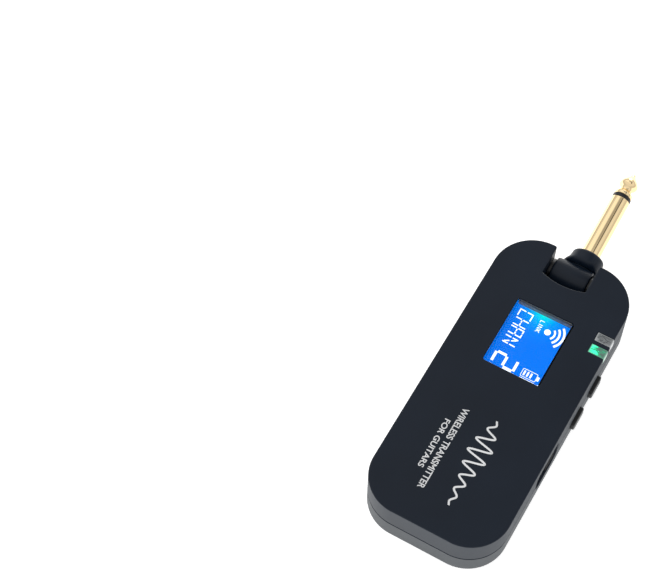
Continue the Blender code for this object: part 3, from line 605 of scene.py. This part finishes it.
def shell_outline(inset=0.0):
    """Outline of the housing with the notch for the swivel cut into its far end."""
    wall_y = NOTCH_Y + NOTCH_BOW
    right = [(NOTCH_HALF, HALF_L, NOTCH_LIP), (NOTCH_HALF, wall_y, NOTCH_CORNER)]
    left = [(-x, y, radius) for x, y, radius in reversed(right)]
    notch = right + [(0, wall_y - 2 * NOTCH_BOW, BOW_RADIUS)] + left
    return filleted(NEAR_CORNERS + [FAR_RIGHT] + notch + [FAR_LEFT], inset, OUTLINE_STEPS)


def inside(name, z0, z1, inset):
    """Block that fills the housing inside walls of that thickness, the notch's walls included."""
    outline = housing_outline(inset)
    room = loft(name, [level(outline, z0), level(outline, z1)])
    wall_y, half, beyond = NOTCH_Y + NOTCH_BOW - inset, NOTCH_HALF + inset, HALF_L + 5 * MM
    corners = [(-half, beyond, NOTCH_CORNER), (-half, wall_y, NOTCH_CORNER),
               (0, wall_y - 2 * NOTCH_BOW, BOW_RADIUS), (half, wall_y, NOTCH_CORNER),
               (half, beyond, NOTCH_CORNER)]
    return combine(room, loft("notch_keep", rings_of(level, corners, 10, [(0.0, z0 - MM), (0.0, z1 + MM)])))


def side_tool(y0, y1, z0, z1, radius, x0, x1, flare=0.15 * MM):
    """Cutter along X whose mouth at the side wall is softly flared."""
    rows = [(0.0, x0), (0.0, HALF_W - flare), (-flare, HALF_W), (-flare, x1)]
    return loft("side_tool", rings_of(across, four_corners(y0, y1, z0, z1, radius), 8, rows))


def button_tools():
    tools = []
    for name in ("channel_up_button", "channel_down_button"):
        y, z, half = button_centre(name)
        half += BUTTON_CLEAR
        rise, radius = BUTTON_SLOT_RISE, BUTTON_SLOT_RADIUS
        tools.append(side_tool(y - half, y + half, z - rise, z + rise, radius, HALF_W - 3 * MM, HALF_W + MM))
    return tools


def button_centre(name):
    """Middle of a button and half its length, without the flange inside."""
    low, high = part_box(name)
    return (low[1] + high[1]) / 2, (low[2] + high[2]) / 2, (high[1] - low[1]) / 2 - BUTTON_FLANGE


def scoop_tool():
    rows = [(-grow, HALF_W - depth) for grow, depth in SCOOP_WALL]
    return loft("scoop_tool", rings_of(across, four_corners(*SCOOP, SCOOP_RADIUS), 10, rows))


def slider_slot_tool():
    low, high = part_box("power_slider")
    y = (low[1] + high[1]) / 2
    return block("slider_slot", HALF_W - 5 * MM, HALF_W - MM, y - SLIDER_SLOT_NEAR, y + SLIDER_SLOT_FAR,
                 SLIDER_Z - SLIDER_SLOT_RISE, SLIDER_Z + SLIDER_SLOT_RISE)


def scoop_backing(z0, z1):
    inner = HALF_W - WALL
    return block("scoop_backing", inner - 1.1 * MM, inner + 0.5 * MM, SCOOP[0] - MM, SCOOP[1] + MM, z0, z1)


def bush_tools():
    tools = []
    wall_end = NOTCH_HALF + WALL
    for side in (-1, 1):
        profile = [(side * (NOTCH_HALF - MM), BUSH_BORE), (side * wall_end, BUSH_BORE),
                   (side * wall_end, BUSH_SEAT), (side * (wall_end + BUSH_SEAT_DEPTH), BUSH_SEAT)]
        tools.append(turned("bush_tool", profile, axis="X", centre=HINGE_AT, steps=40))
    return tools


def window_tool():
    """Display opening with a softly rounded upper edge."""
    rows = [(0.0, TOP - PLATE - MM)]
    rows += [(-inset, TOP - drop) for drop, inset in fillet_profile(WINDOW_EDGE, 4)]
    rows.append((-WINDOW_EDGE, TOP + MM))
    corners = four_corners(-WINDOW_X, WINDOW_X, WINDOW_Y0, WINDOW_Y1, WINDOW_RADIUS)
    return loft("window_tool", rings_of(level, corners, 6, rows))


def pipe_tool(name):
    """Pocket for a status window, open to the side and above."""
    low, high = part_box(name)
    return block("pipe_tool", low[0] - PIPE_CLEAR, HALF_W + MM, low[1] - PIPE_CLEAR, high[1] + PIPE_CLEAR,
                 TOP - PIPE_POCKET, TOP + MM)


def grain_and_sheen_walls(shell):
    """The second material, grained and lighter than the top as a painted sheen, goes on the upright faces of the
    outside.
    """
    for face in shell.data.polygons:
        x, y = abs(face.center.x), abs(face.center.y)
        radius = FAR_RADIUS if face.center.y > 0 else NEAR_RADIUS
        beyond = math.hypot(max(0.0, x - HALF_W + radius), max(0.0, y - HALF_L + radius))
        if abs(face.normal.z) < 0.6 and beyond > radius - 0.05 * MM:
            face.material_index = 1


def finish_shell(shell, looks):
    """Cuts the openings that both shells share, and gives the shell its two materials."""
    for tool in button_tools() + [scoop_tool(), slider_slot_tool()] + bush_tools():
        combine(shell, tool)
    crisp(shell, looks, SHELL_SHARP)
    grain_and_sheen_walls(shell)
    weighted(shell)


def upper_cover(looks):
    """Upper shell: thin-walled, filleted all round its top edge and the notch, with its openings."""
    rings = [level(shell_outline(inset), SEAM + rise) for inset, rise in SEAM_GROOVE]
    rings += [level(shell_outline(inset), TOP - drop) for drop, inset in fillet_profile(TOP_ROUND)]
    cover = loft("upper_cover", rings)
    combine(cover, inside("cavity", SEAM - MM, TOP - PLATE, WALL))
    combine(cover, inside("tongue_groove", SEAM - MM, 9.0 * MM, 0.85 * MM))
    combine(cover, scoop_backing(SEAM, SCOOP[3] + MM), "UNION")
    combine(cover, window_tool())
    for name in ("light_pipe_link", "light_pipe_battery"):
        combine(cover, pipe_tool(name))
    finish_shell(cover, looks)
    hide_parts("upper_shell")
    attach(cover, "housing")


def lower_case(looks):
    """Lower shell with its tongue, charging recess, contact holes, screw pockets and label recess."""
    rings = []
    for drop, inset in reversed(fillet_profile(BOTTOM_ROUND)):
        rings.append(level(shell_outline(min(inset, BOTTOM_INSET)), drop))
    rings += [level(shell_outline(inset), LOWER_SEAM - drop) for inset, drop in reversed(SEAM_GROOVE)]
    case = loft("lower_case", rings)
    combine(case, inside("cavity", PLATE, LOWER_SEAM + MM, WALL))
    tongue = inside("tongue", LOWER_SEAM - 0.5 * MM, 8.8 * MM, 1.0 * MM)
    combine(tongue, inside("tongue_hole", LOWER_SEAM - 2 * MM, 9.5 * MM, WALL + 0.02 * MM))
    combine(case, tongue, "UNION")
    combine(case, scoop_backing(SCOOP[2] - 1.2 * MM, LOWER_SEAM), "UNION")
    combine(case, block("dock_roof", -DOCK_X - WALL, DOCK_X + WALL, DOCK_Y0 - WALL, DOCK_Y1 + WALL,
                        PLATE - 0.5 * MM, DOCK_FLOOR), "UNION")
    dock = four_corners(-DOCK_X, DOCK_X, DOCK_Y0, DOCK_Y1, DOCK_RADIUS)
    combine(case, loft("dock_tool", rings_of(level, dock, 8, DOCK_WALL)))
    combine(case, turned("stud", STUD, axis="Z", centre=(0, STUD_Y, 0)), "UNION")
    for name in CONTACTS:
        combine(case, turned("contact_hole", [(-MM, MM), (4 * MM, MM)], axis="Z", centre=centre_of(name),
                             steps=32))
    for name in HOUSING_SCREWS:
        boss = [(MM, BOSS_R), (LOWER_SEAM - 0.1 * MM, BOSS_R)]
        combine(case, turned("boss", boss, axis="Z", centre=centre_of(name), steps=40), "UNION")
        combine(case, turned("pocket", SCREW_POCKET, axis="Z", centre=centre_of(name), steps=40))
    low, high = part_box("blank_rating_label")
    label = box_corners(low, high, 1.4 * MM, grow=LABEL_CLEAR)
    combine(case, loft("label_tool", rings_of(level, label, 6, [(0.0, -MM), (0.0, LABEL_RECESS)])))
    finish_shell(case, looks)
    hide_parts("lower_shell")
    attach(case, "housing")


def centre_of(name):
    """Middle of a node's box seen from above, on the plane of the underside."""
    low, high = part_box(name)
    return (low[0] + high[0]) / 2, (low[1] + high[1]) / 2, 0


# ---- display -------------------------------------------------------------------------------------
def display(lens_looks, panel_look, mark_look):
    """Clear window whose far faces are a lighter grey as a painted reflection, with a black masked step and a
    right side painted black as shade, over a lit panel with its segments.
    """
    low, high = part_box("display_window")
    fit, skin = 0.12 * MM, 0.25 * MM
    right = WINDOW_X - GAP
    step = TOP - PLATE - GAP
    hole = four_corners(-WINDOW_X, right, WINDOW_Y0, WINDOW_Y1, WINDOW_RADIUS)
    lip = box_corners(low, high, WINDOW_RADIUS)
    rings = rings_of(level, hole, 6, [(fit + skin, high[2] - MM), (fit + skin, low[2])])
    rings += rings_of(level, lip, 6, [(0.0, low[2]), (0.0, step)])
    rings += rings_of(level, hole, 6, [(fit, step), (fit, high[2] - 0.1 * MM), (fit + 0.1 * MM, high[2])])
    lens = loft("display_lens", rings, lens_looks)
    for face in lens.data.polygons:
        x, y, z = face.center
        # The far faces take the lighter grey: a painted reflection of the bright surroundings in the lens's far
        # wall.
        if y > WINDOW_Y1 - 0.9 * MM and z < high[2] - 0.05 * MM and abs(face.normal.y) > 0.7:
            face.material_index = 1
        # The step takes black as a mask; the right side faces take black as painted shade in the gap at the
        # window's right.
        if abs(z - step) < 0.01 * MM or x > right - 0.2 * MM:
            face.material_index = 2
    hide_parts("display_window")
    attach(lens, "housing")

    low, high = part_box("lcd_glass")
    glass = box_corners(low, high, 0.3 * MM)
    rows = [(0.0, low[2]), (0.0, high[2] - 0.1 * MM), (0.1 * MM, high[2])]
    panel = loft("display_panel", rings_of(level, glass, 3, rows), [panel_look])
    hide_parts("lcd_glass")
    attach(panel, "housing")
    display_marks(mark_look)


def stroke(bm, points, width, z, height=0.04 * MM, closed=False):
    """Flat bar of constant width along points, mitred at its bends."""
    spots = [Vector(p) for p in points]
    count = len(spots)
    rings = []
    for i, spot in enumerate(spots):
        first = (spot - spots[i - 1]).normalized() if i or closed else None
        second = (spots[(i + 1) % count] - spot).normalized() if i < count - 1 or closed else None
        first, second = first or second, second or first
        normal = Vector((-(first.y + second.y), first.x + second.x)).normalized()
        scale = width / 2 / max(0.35, normal.dot(Vector((-first.y, first.x))))
        left, right = spot + normal * scale, spot - normal * scale
        places = (left, 0.0), (left, height), (right, height), (right, 0.0)
        rings.append([bm.verts.new((p.x, p.y, z + lift)) for p, lift in places])
    for i in range(count if closed else count - 1):
        here, there = rings[i], rings[(i + 1) % count]
        for k in range(4):
            bm.faces.new((here[k - 1], here[k], there[k], there[k - 1]))
    if not closed:
        bm.faces.new(rings[0])
        bm.faces.new(rings[-1])


def disc(bm, centre, radius, z, height=0.04 * MM, steps=28):
    outline = [(centre[0] + radius * c, centre[1] + radius * s) for c, s in circle(steps)]
    low = [bm.verts.new((x, y, z)) for x, y in outline]
    high = [bm.verts.new((x, y, z + height)) for x, y in outline]
    bm.faces.new(high)
    bm.faces.new(low)
    for i in range(steps):
        bm.faces.new((low[i - 1], low[i], high[i], high[i - 1]))


# Segment strokes on a cell one wide and one tall, read from lower left.
LEFT = [[(0, 0), (0, 0.44)], [(0, 0.56), (0, 1)]]
RIGHT = [[(1, 0), (1, 0.44)], [(1, 0.56), (1, 1)]]
MIDDLE = [[(0.1, 0.5), (0.44, 0.5)], [(0.56, 0.5), (0.9, 0.5)]]
LETTERS = {
    "C": [[(1, 1), (0, 1), (0, 0.56)], [(0, 0.44), (0, 0), (1, 0)]],
    "H": LEFT + RIGHT + MIDDLE,
    "A": [LEFT[0], [(0, 0.56), (0, 1), (0.44, 1)], [(0.56, 1), (1, 1), (1, 0.56)], RIGHT[0]] + MIDDLE,
    "N": LEFT + RIGHT + [[(0.12, 0.9), (0.46, 0.56)], [(0.54, 0.44), (0.88, 0.1)]],
    "L": [[(0, 1), (0, 0), (1, 0)]],
    "I": [[(0.5, 0), (0.5, 1)]],
    "K": [[(0, 0), (0, 1)], [(0.95, 1), (0.15, 0.5), (0.95, 0)]],
    "2": [[(0.06, 1), (0.94, 1)], [(1, 0.94), (1, 0.55)], [(0.92, 0.5), (0.08, 0.5)], [(0, 0.45), (0, 0.06)],
          [(0.06, 0), (0.94, 0)]],
}


def letter(bm, key, start_y, width, low_x, height, pen, z, slant=0.05):
    """One segment letter, sized in millimetres, reading towards the near end with its top to the right."""
    for line in LETTERS[key]:
        points = []
        for along, rise in line:
            points.append((low_x + rise * height, start_y - along * width - slant * rise * height))
        stroke(bm, metres(points), pen * MM, z)


def display_marks(look):
    """Channel word and number, link word, radio arcs and battery sign, laid out in millimetres."""
    z = LCD_TOP + 0.01 * MM
    bm = bmesh.new()
    for key, start in (("C", 28.3), ("H", 25.1), ("A", 21.75), ("N", 17.95)):
        letter(bm, key, start, 2.45, -7.75, 4.35, 0.38, z)
    letter(bm, "2", 11.55, 4.0, -7.55, 7.45, 0.85, z, 0.03)
    for key, start, width in (("L", 27.7, 0.75), ("I", 26.5, 0.5), ("N", 25.6, 0.85), ("K", 24.2, 0.85)):
        letter(bm, key, start, width, -0.55, 1.35, 0.21, z, 0.0)
    dot_x, dot_y = 3.05, 24.9
    disc(bm, (dot_x * MM, dot_y * MM), 1.02 * MM, z)
    for radius, pen in ((2.35, 0.58), (3.8, 0.64), (5.25, 0.70)):
        angles = [math.radians(-44 + 88 * step / 14) for step in range(15)]
        arc = [(dot_x + radius * math.cos(angle), dot_y + radius * math.sin(angle)) for angle in angles]
        stroke(bm, metres(arc), pen * MM, z)
    battery = metres([(2.35, 7.45, 0.35), (7.25, 7.45, 0.35), (7.25, 10.2, 0.35), (2.35, 10.2, 0.35)])
    stroke(bm, filleted(battery, 0.0, 3), 0.17 * MM, z, closed=True)
    stroke(bm, metres([(7.75, 8.1), (7.75, 9.55)]), 0.75 * MM, z)
    for x in (3.2, 4.3, 5.4):
        stroke(bm, metres([(x, 7.95), (x, 9.7)]), 0.55 * MM, z)
    marks = finish_mesh("display_marks", bm, [look])
    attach(marks, "housing")


# ---- printing on the cover -----------------------------------------------------------------------
PRINT_WEIGHT = 0.018
PRINT_LIFT = 0.012 * MM
PRINT_THICK = 0.008 * MM
WAVE_STEPS = 240
WAVE_CYCLES = 7
WAVE_X = 4.0 * MM
WAVE_SWING = 3.9 * MM
WAVE_START = -11.5 * MM
WAVE_LENGTH = 31.0 * MM
WAVE_PEN = 0.62 * MM


def print_text(name, words, near_y, far_y, low_x, cap, look):
    """Plain line of text reading towards the near end, scaled to its length and cap height."""
    curve = bpy.data.curves.new(name, "FONT")
    curve.body = words
    curve.size = 1.0
    curve.offset = PRINT_WEIGHT
    curve.extrude = 0.004
    text = linked(name, curve)
    mesh = as_mesh(text)
    bpy.data.objects.remove(text)
    xs = [v.co.x for v in mesh.vertices]
    ys = [v.co.y for v in mesh.vertices]
    wide, tall = max(xs) - min(xs), max(ys) - min(ys)
    for v in mesh.vertices:
        along = (v.co.x - min(xs)) / wide
        rise = (v.co.y - min(ys)) / tall
        lift = PRINT_LIFT + (PRINT_THICK if v.co.z > 0 else 0.0)
        v.co = (low_x + rise * cap, far_y + along * (near_y - far_y), TOP + lift)
    mesh.materials.append(look)
    obj = linked(name, mesh)
    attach(obj, "housing")


def wave_mark(look):
    """Plain sound-wave stroke, an invented motif."""
    bm = bmesh.new()
    points = []
    for step in range(WAVE_STEPS + 1):
        share = step / WAVE_STEPS
        envelope = math.sin(math.pi * share) ** 0.8 * (0.45 + 0.55 * math.cos(math.pi * (share - 0.28)) ** 2)
        swing = WAVE_SWING * envelope * math.sin(2 * math.pi * WAVE_CYCLES * share)
        points.append((WAVE_X + swing, WAVE_START - WAVE_LENGTH * share))
    stroke(bm, points, WAVE_PEN, TOP + PRINT_LIFT, PRINT_THICK)
    mark = finish_mesh("wave_print", bm, [look])
    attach(mark, "housing")


# ---- status windows ------------------------------------------------------------------------------
def status_window(name, node, look):
    """Clear piece that wraps over the rounded top edge."""
    low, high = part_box(node)
    x0, x1, z1 = low[0], HALF_W - 0.01 * MM, TOP - 0.01 * MM
    z0 = TOP - PIPE_DEPTH
    small, bevel = 0.15 * MM, 0.12 * MM
    corners = [(x0, z0, small), (x1, z0, small), (x1, z1, TOP_ROUND), (x0, z1, small)]
    rings = []
    for y, inset in ((low[1], bevel), (low[1] + 0.1 * MM, 0.0), (high[1] - 0.1 * MM, 0.0), (high[1], bevel)):
        rings.append([(x, y, z) for x, z in filleted(corners, inset, 6)])
    piece = loft(name, rings, [look])
    stem = block("stem", x0 + 0.3 * MM, x0 + 2.1 * MM, low[1] + 0.6 * MM, high[1] - 0.6 * MM, low[2],
                 z0 + 0.5 * MM)
    combine(piece, stem, "UNION")
    crisp(piece, [look])
    weighted(piece)
    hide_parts(node)
    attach(piece, "housing")


# ---- side controls -------------------------------------------------------------------------------
BUTTON_RIM = 0.32 * MM
BUTTON_SINK = 0.12 * MM
# (inset, rise) of the button's crowned face.
BUTTON_CROWN = metres([(0.55, 0.045), (0.8, 0.085), (0.97, 0.105)])
KNOB_GROOVES = 5
GROOVE_PITCH = 0.85 * MM
# (distance from the groove's middle, height over the knob's face).
GROOVE = metres([(-0.24, 0.1), (-0.09, -0.3), (0.09, -0.3), (0.24, 0.1)])


def side_button(name, node, body, look):
    """Crowned cap with rounded rim, and its retaining flange inside."""
    low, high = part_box(node)
    y, z, half = button_centre(node)
    cap = four_corners(y - half, y + half, z - BUTTON_RISE, z + BUTTON_RISE, 1.0 * MM)
    flange = box_corners(low, high, 0.8 * MM, axis=1)
    flange_x = HALF_W - WALL - GAP
    face_x = high[0] - BUTTON_SINK
    rows = [(0.0, flange_x)]
    rows += [(inset, face_x - drop) for drop, inset in fillet_profile(BUTTON_RIM, 5)]
    rows += [(inset, face_x + rise) for inset, rise in BUTTON_CROWN]
    rings = rings_of(across, flange, 8, [(0.0, low[0]), (0.0, flange_x)]) + rings_of(across, cap, 8, rows)
    piece = loft(name, rings, [look])
    weighted(piece)
    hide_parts(node)
    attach(piece, body)


def slide_knob(look):
    """Grooved cap on a stem that reaches the switch."""
    low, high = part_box("power_slider")
    y = (low[1] + high[1]) / 2
    base = HALF_W - SCOOP_DEPTH + GAP
    rows = [(0.0, base)] + [(inset, high[0] - drop) for drop, inset in fillet_profile(0.2 * MM, 4)]
    cap = box_corners(low, high, 0.5 * MM, axis=1)
    knob = loft("slide_knob", rings_of(across, cap, 5, rows))
    for index in range(KNOB_GROOVES):
        middle = y + (index - (KNOB_GROOVES - 1) / 2) * GROOVE_PITCH
        ends = (low[2] - MM, high[2] + MM)
        combine(knob, loft("groove", [[(high[0] + x, middle + off, z) for off, x in GROOVE] for z in ends]))
    combine(knob, block("stem", low[0], base + 0.2 * MM, y - 0.8 * MM, y + 0.8 * MM, SLIDER_Z - 0.7 * MM,
                        SLIDER_Z + 0.7 * MM), "UNION")
    crisp(knob, [look])
    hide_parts("power_slider")
    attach(knob, "power_knob")


# ---- swivel plug ---------------------------------------------------------------------------------
BARREL_HALF = 6.1 * MM
BARREL_R = 5.5 * MM
BARREL_CROWN = 0.35 * MM
BARREL_FLAT = 0.84
BARREL_EDGE = 0.45 * MM
BARREL_BORE = 3.4 * MM
# (distance back from the barrel's end, loss of radius) of its rounded ends.
BARREL_ENDS = metres([(0.0, 0.3), (0.06, 0.15), (0.14, 0.05)])
WASHER_ROOM = 4.5 * MM
PLUG_FIT = 0.15 * MM
PLUG_MOUTH = 0.35 * MM
COLLAR_R = 5.4 * MM
COLLAR_END = 10.0 * MM
COLLAR_ROUND = 1.1 * MM
# (distance from the hinge, x, half width, half height, lift) of the collar's sections up to its round part.
COLLAR_ROOT = metres([
    (0.5, 0.85, 6.0, 3.2, -0.5), (4.7, 0.85, 6.0, 3.4, -0.4), (4.85, 0.87, 5.98, 3.85, -0.28),
    (5.05, 0.91, 5.95, 4.3, -0.16), (5.3, 0.97, 5.9, 4.7, -0.08), (5.8, 1.13, 5.8, 5.15, 0.0),
    (6.15, 1.27, 5.71, 5.31, 0.0), (6.5, 1.42, 5.62, 5.39, 0.0), (7.2, 1.7, 5.5, 5.4, 0.0)
])
BARREL_SLICES = 24
BARREL_TURN = 80
COLLAR_TURN = 96
PLUG_TURN = 96
# (distance from the hinge, radius) of the plug's pieces.  The tip's rows start at its insulating ring.
SLEEVE = metres([
    (3.2, 1.35), (3.2, 1.95), (7.4, 1.95), (7.4, 3.175), (32.25, 3.175), (32.4, 3.13), (32.48, 3.03),
    (32.5, 2.9), (32.5, 1.35)
])
INSULATOR = metres([
    (2.6, 0.9), (2.6, 1.2), (32.55, 1.2), (32.55, 2.95), (32.6, 3.1), (33.6, 3.1), (33.68, 3.0),
    (33.7, 2.9), (33.7, 0.9)
])
TIP_START = 33.85
TIP_END = 43.0
TIP = [
    (0.0, 2.75), (0.06, 2.92), (0.2, 3.0), (0.9, 2.98), (1.25, 2.75), (1.55, 2.35), (1.9, 2.08),
    (2.25, 2.0), (2.55, 2.08), (2.85, 2.35), (3.15, 2.68), (3.5, 2.93), (3.85, 3.06), (4.2, 3.07),
    (4.6, 2.95), (5.1, 2.66), (5.6, 2.25), (6.1, 1.78), (6.6, 1.3), (7.05, 0.93), (7.45, 0.7), (7.75, 0.55),
    (7.95, 0.35), (8.05, 0.1)
]


def place_on_plug(obj, node):
    obj.matrix_world = PLUG_PLACE
    bpy.context.view_layer.update()
    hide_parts(node)
    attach(obj, "plug_arm")


def collar_sections():
    """Low inside the barrel, swelling behind its flat side to the round nose."""
    sections = list(COLLAR_ROOT)
    for drop, inset in fillet_profile(COLLAR_ROUND, 8):
        sections.append((COLLAR_END - drop, PLUG_X, COLLAR_R - inset, COLLAR_R - inset, 0.0))
    return sections


def barrel_ring(x, radius):
    """Round section with a flat far side, whose two edges are filleted."""
    inner = radius - BARREL_EDGE
    flat = radius * BARREL_FLAT - BARREL_EDGE
    turn = math.acos(flat / inner)
    points = []
    for step in range(BARREL_TURN + 1):
        angle = turn + (2 * math.pi - 2 * turn) * step / BARREL_TURN
        points.append((x, radius * math.cos(angle), radius * math.sin(angle)))
    for side in (-1, 1):
        for step in range(1, 8):
            angle = turn * (step / 8 - (1 if side < 0 else 0))
            z = side * inner * math.sin(turn) + BARREL_EDGE * math.sin(angle)
            points.append((x, flat + BARREL_EDGE * math.cos(angle), z))
    return points


def knuckle(look):
    """Crowned barrel on the hinge axis with the collar growing out of its flat far side."""
    end_radius = BARREL_R - BARREL_CROWN
    ends = [(BARREL_HALF - back, end_radius - drop) for back, drop in BARREL_ENDS]
    profile = [(-x, radius) for x, radius in ends]
    for step in range(BARREL_SLICES + 1):
        share = 2 * step / BARREL_SLICES - 1
        profile.append((share * (BARREL_HALF - 0.25 * MM), BARREL_R - BARREL_CROWN * share ** 2))
    profile += ends[::-1]
    body = loft("plug_swivel", [barrel_ring(x, radius) for x, radius in profile])
    rings = []
    for along, x, half, rise, lift in collar_sections():
        rings.append([(x + half * c, along, lift + rise * s) for c, s in circle(COLLAR_TURN)])
    combine(body, loft("collar", rings), "UNION")
    for side in (-1, 1):
        room = [(side * BARREL_HALF, WASHER_ROOM), (side * 8 * MM, WASHER_ROOM)]
        combine(body, turned("washer_room", room, axis="X"))
    combine(body, turned("hinge_bore", [(-8 * MM, BARREL_BORE), (8 * MM, BARREL_BORE)], axis="X"))
    bore = metres([(0, 2.75), (4.3, 2.75), (4.3, 2.25), (7.1, 2.25)])
    bore += [(7.1 * MM, PLUG_R + PLUG_FIT), (COLLAR_END - 0.2 * MM, PLUG_R + PLUG_FIT),
             (COLLAR_END, PLUG_R + PLUG_MOUTH), (COLLAR_END + MM, PLUG_R + PLUG_MOUTH)]
    combine(body, turned("plug_bore", bore, axis="Y", centre=(PLUG_X, 0, 0)))
    crisp(body, [look], 40.0)
    weighted(body)
    place_on_plug(body, "plug_knuckle")


def jack_plug(gold, black):
    """Sleeve, insulating ring and tip on the plug's axis."""
    centre = (PLUG_X, 0, 0)
    piece = turned("jack_sleeve", SLEEVE, [gold], True, PLUG_TURN, "Y", centre)
    place_on_plug(piece, "plug_sleeve")
    piece = turned("jack_insulator", INSULATOR, [black], True, PLUG_TURN, "Y", centre)
    place_on_plug(piece, "plug_insulator")
    reach = (TIP_END - TIP_START) / TIP[-1][0]
    tip = [(1.6, 0.75), (TIP_START - 0.02, 0.75)]
    tip += [(TIP_START + along * reach, radius) for along, radius in TIP]
    piece = turned("jack_tip", metres(tip), [gold], False, PLUG_TURN, "Y", centre, 45.0)
    place_on_plug(piece, "plug_tip")


# ---- underside -----------------------------------------------------------------------------------
def charge_contacts(gold):
    for name in CONTACTS:
        low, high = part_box(name)
        radius = (high[0] - low[0]) / 2
        profile = [(high[2], radius), (low[2] + 0.45 * MM, radius), (low[2] + 0.2 * MM, radius * 0.93),
                   (low[2] + 0.06 * MM, radius * 0.7), (low[2], radius * 0.35), (low[2], 0.02 * MM)]
        piece = turned(name + "_pin", profile, [gold], axis="Z", centre=centre_of(name), steps=40, smooth=60)
        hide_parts(name)
        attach(piece, "housing")


def rating_label(look, line_look):
    low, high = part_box("blank_rating_label")
    corners = box_corners(low, high, 1.2 * MM)
    rows = [(0.0, high[2]), (0.0, low[2] + 0.03 * MM), (0.04 * MM, low[2])]
    piece = loft("blank_label", rings_of(level, corners, 6, rows), [look])
    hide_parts("blank_rating_label")
    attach(piece, "housing")
    bm = bmesh.new()
    stroke(bm, filleted(corners, 1.0 * MM, 6), 0.18 * MM, low[2] - 0.015 * MM, 0.01 * MM, closed=True)
    border = finish_mesh("label_border", bm, [line_look])
    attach(border, "housing")


# ---- all pieces ----------------------------------------------------------------------------------
def carried_over(looks):
    """Inner CAD nodes keep their shape and get a worked material for their slot."""
    for entry in frame["record"]["subparts"]:
        node = frame["nodes"][entry["node"]]
        look = looks.get(entry["material_slot"])
        if look and node.material_slots:
            for place in node.material_slots:
                place.material = look


def build():
    studio()
    black = moulded("satin_black", (0.0052, 0.0105, 0.0208), 0.38, 0.22)
    # The upright walls get grain and a lighter tone than the top: a painted sheen standing in for the floor's
    # grazing reflection.
    upper_wall_grain_and_sheen = moulded("grained_wall_upper_painted_sheen", (0.054, 0.062, 0.074), 0.56, 0.22, 1500.0, 0.02 * MM)
    lower_wall_grain_and_sheen = moulded("grained_wall_lower_painted_sheen", (0.088, 0.097, 0.106), 0.60, 0.36, 1200.0, 0.03 * MM)
    knob_black = moulded("knob_black", (0.010, 0.0105, 0.012), 0.34, 0.4)
    gold = metal("gold_plate_turned", (0.98, 0.76, 0.44), 0.09)
    steel = metal("zinc_steel_turned", (0.56, 0.57, 0.58), 0.32)
    lens = clear_lens()
    # Lighter grey for the lens's far faces: a painted reflection, not a frosted finish.
    far_edge_reflection = moulded("painted_reflection_far_edge", (0.22, 0.22, 0.20), 0.5, 0.5, 900.0)
    marks = glowing("segment_white", (0.93, 0.98, 1.0), 0.92)
    ink = moulded("white_ink", (0.82, 0.83, 0.84), 0.5, 0.3, 2600.0)
    diffuser = moulded("milky_diffuser", (0.78, 0.80, 0.78), 0.5)
    green = light_pipe("lit_green_window", "light_pipe_link", GREEN_TONES, GREEN_RIM_HIGHLIGHT, 0.85, 0.25)
    grey = light_pipe("clear_window_grey", "light_pipe_battery", GREY_TONES, GREY_RIM_HIGHLIGHT, 0.0, 0.2)
    white = moulded("natural_nylon", (0.72, 0.71, 0.67), 0.5)
    carried_over({
        "zinc_steel": steel, "gold_plate": gold, "black_moulding": knob_black,
        "satin_black_plastic": black, "light_diffuser": diffuser, "white_nylon": white,
        "board_green": moulded("solder_mask", (0.015, 0.11, 0.05), 0.4, 0.5, 500.0),
        "chip_epoxy": moulded("moulded_epoxy", (0.02, 0.02, 0.021), 0.6),
        "cell_foil": metal("cell_foil_matt", (0.60, 0.61, 0.63), 0.38, (900, 900, 900)),
        "grey_foam": moulded("closed_cell_foam", (0.10, 0.10, 0.10), 0.95, 0.1, 1800.0, 0.08 * MM),
        "red_insulation": moulded("lead_insulation", (0.45, 0.02, 0.02), 0.45),
        "label_vinyl": moulded("label_vinyl_grey", (0.30, 0.31, 0.32), 0.5),
        "polyimide_film": moulded("amber_film", (0.42, 0.19, 0.03), 0.35),
        "clear_acrylic": lens, "lcd_blue": diffuser})
    upper_cover([black, upper_wall_grain_and_sheen])
    lower_case([black, lower_wall_grain_and_sheen])
    display([lens, far_edge_reflection, knob_black], lit_panel(), marks)
    print_text("print_function", "WIRELESS TRANSMITTER", -41.8 * MM, -12.3 * MM, -6.85 * MM, 2.1 * MM, ink)
    print_text("print_use", "FOR GUITARS", -35.8 * MM, -18.2 * MM, -9.9 * MM, 1.85 * MM, ink)
    wave_mark(ink)
    status_window("window_link", "light_pipe_link", green)
    status_window("window_battery", "light_pipe_battery", grey)
    side_button("button_up", "channel_up_button", "channel_up", knob_black)
    side_button("button_down", "channel_down_button", "channel_down", knob_black)
    slide_knob(moulded("slider_black", (0.004, 0.0042, 0.005), 0.62, 0.08))
    knuckle(black)
    jack_plug(gold, knob_black)
    charge_contacts(gold)
    rating_label(moulded("label_face", (0.25, 0.26, 0.27), 0.45, 0.4), diffuser)


build()
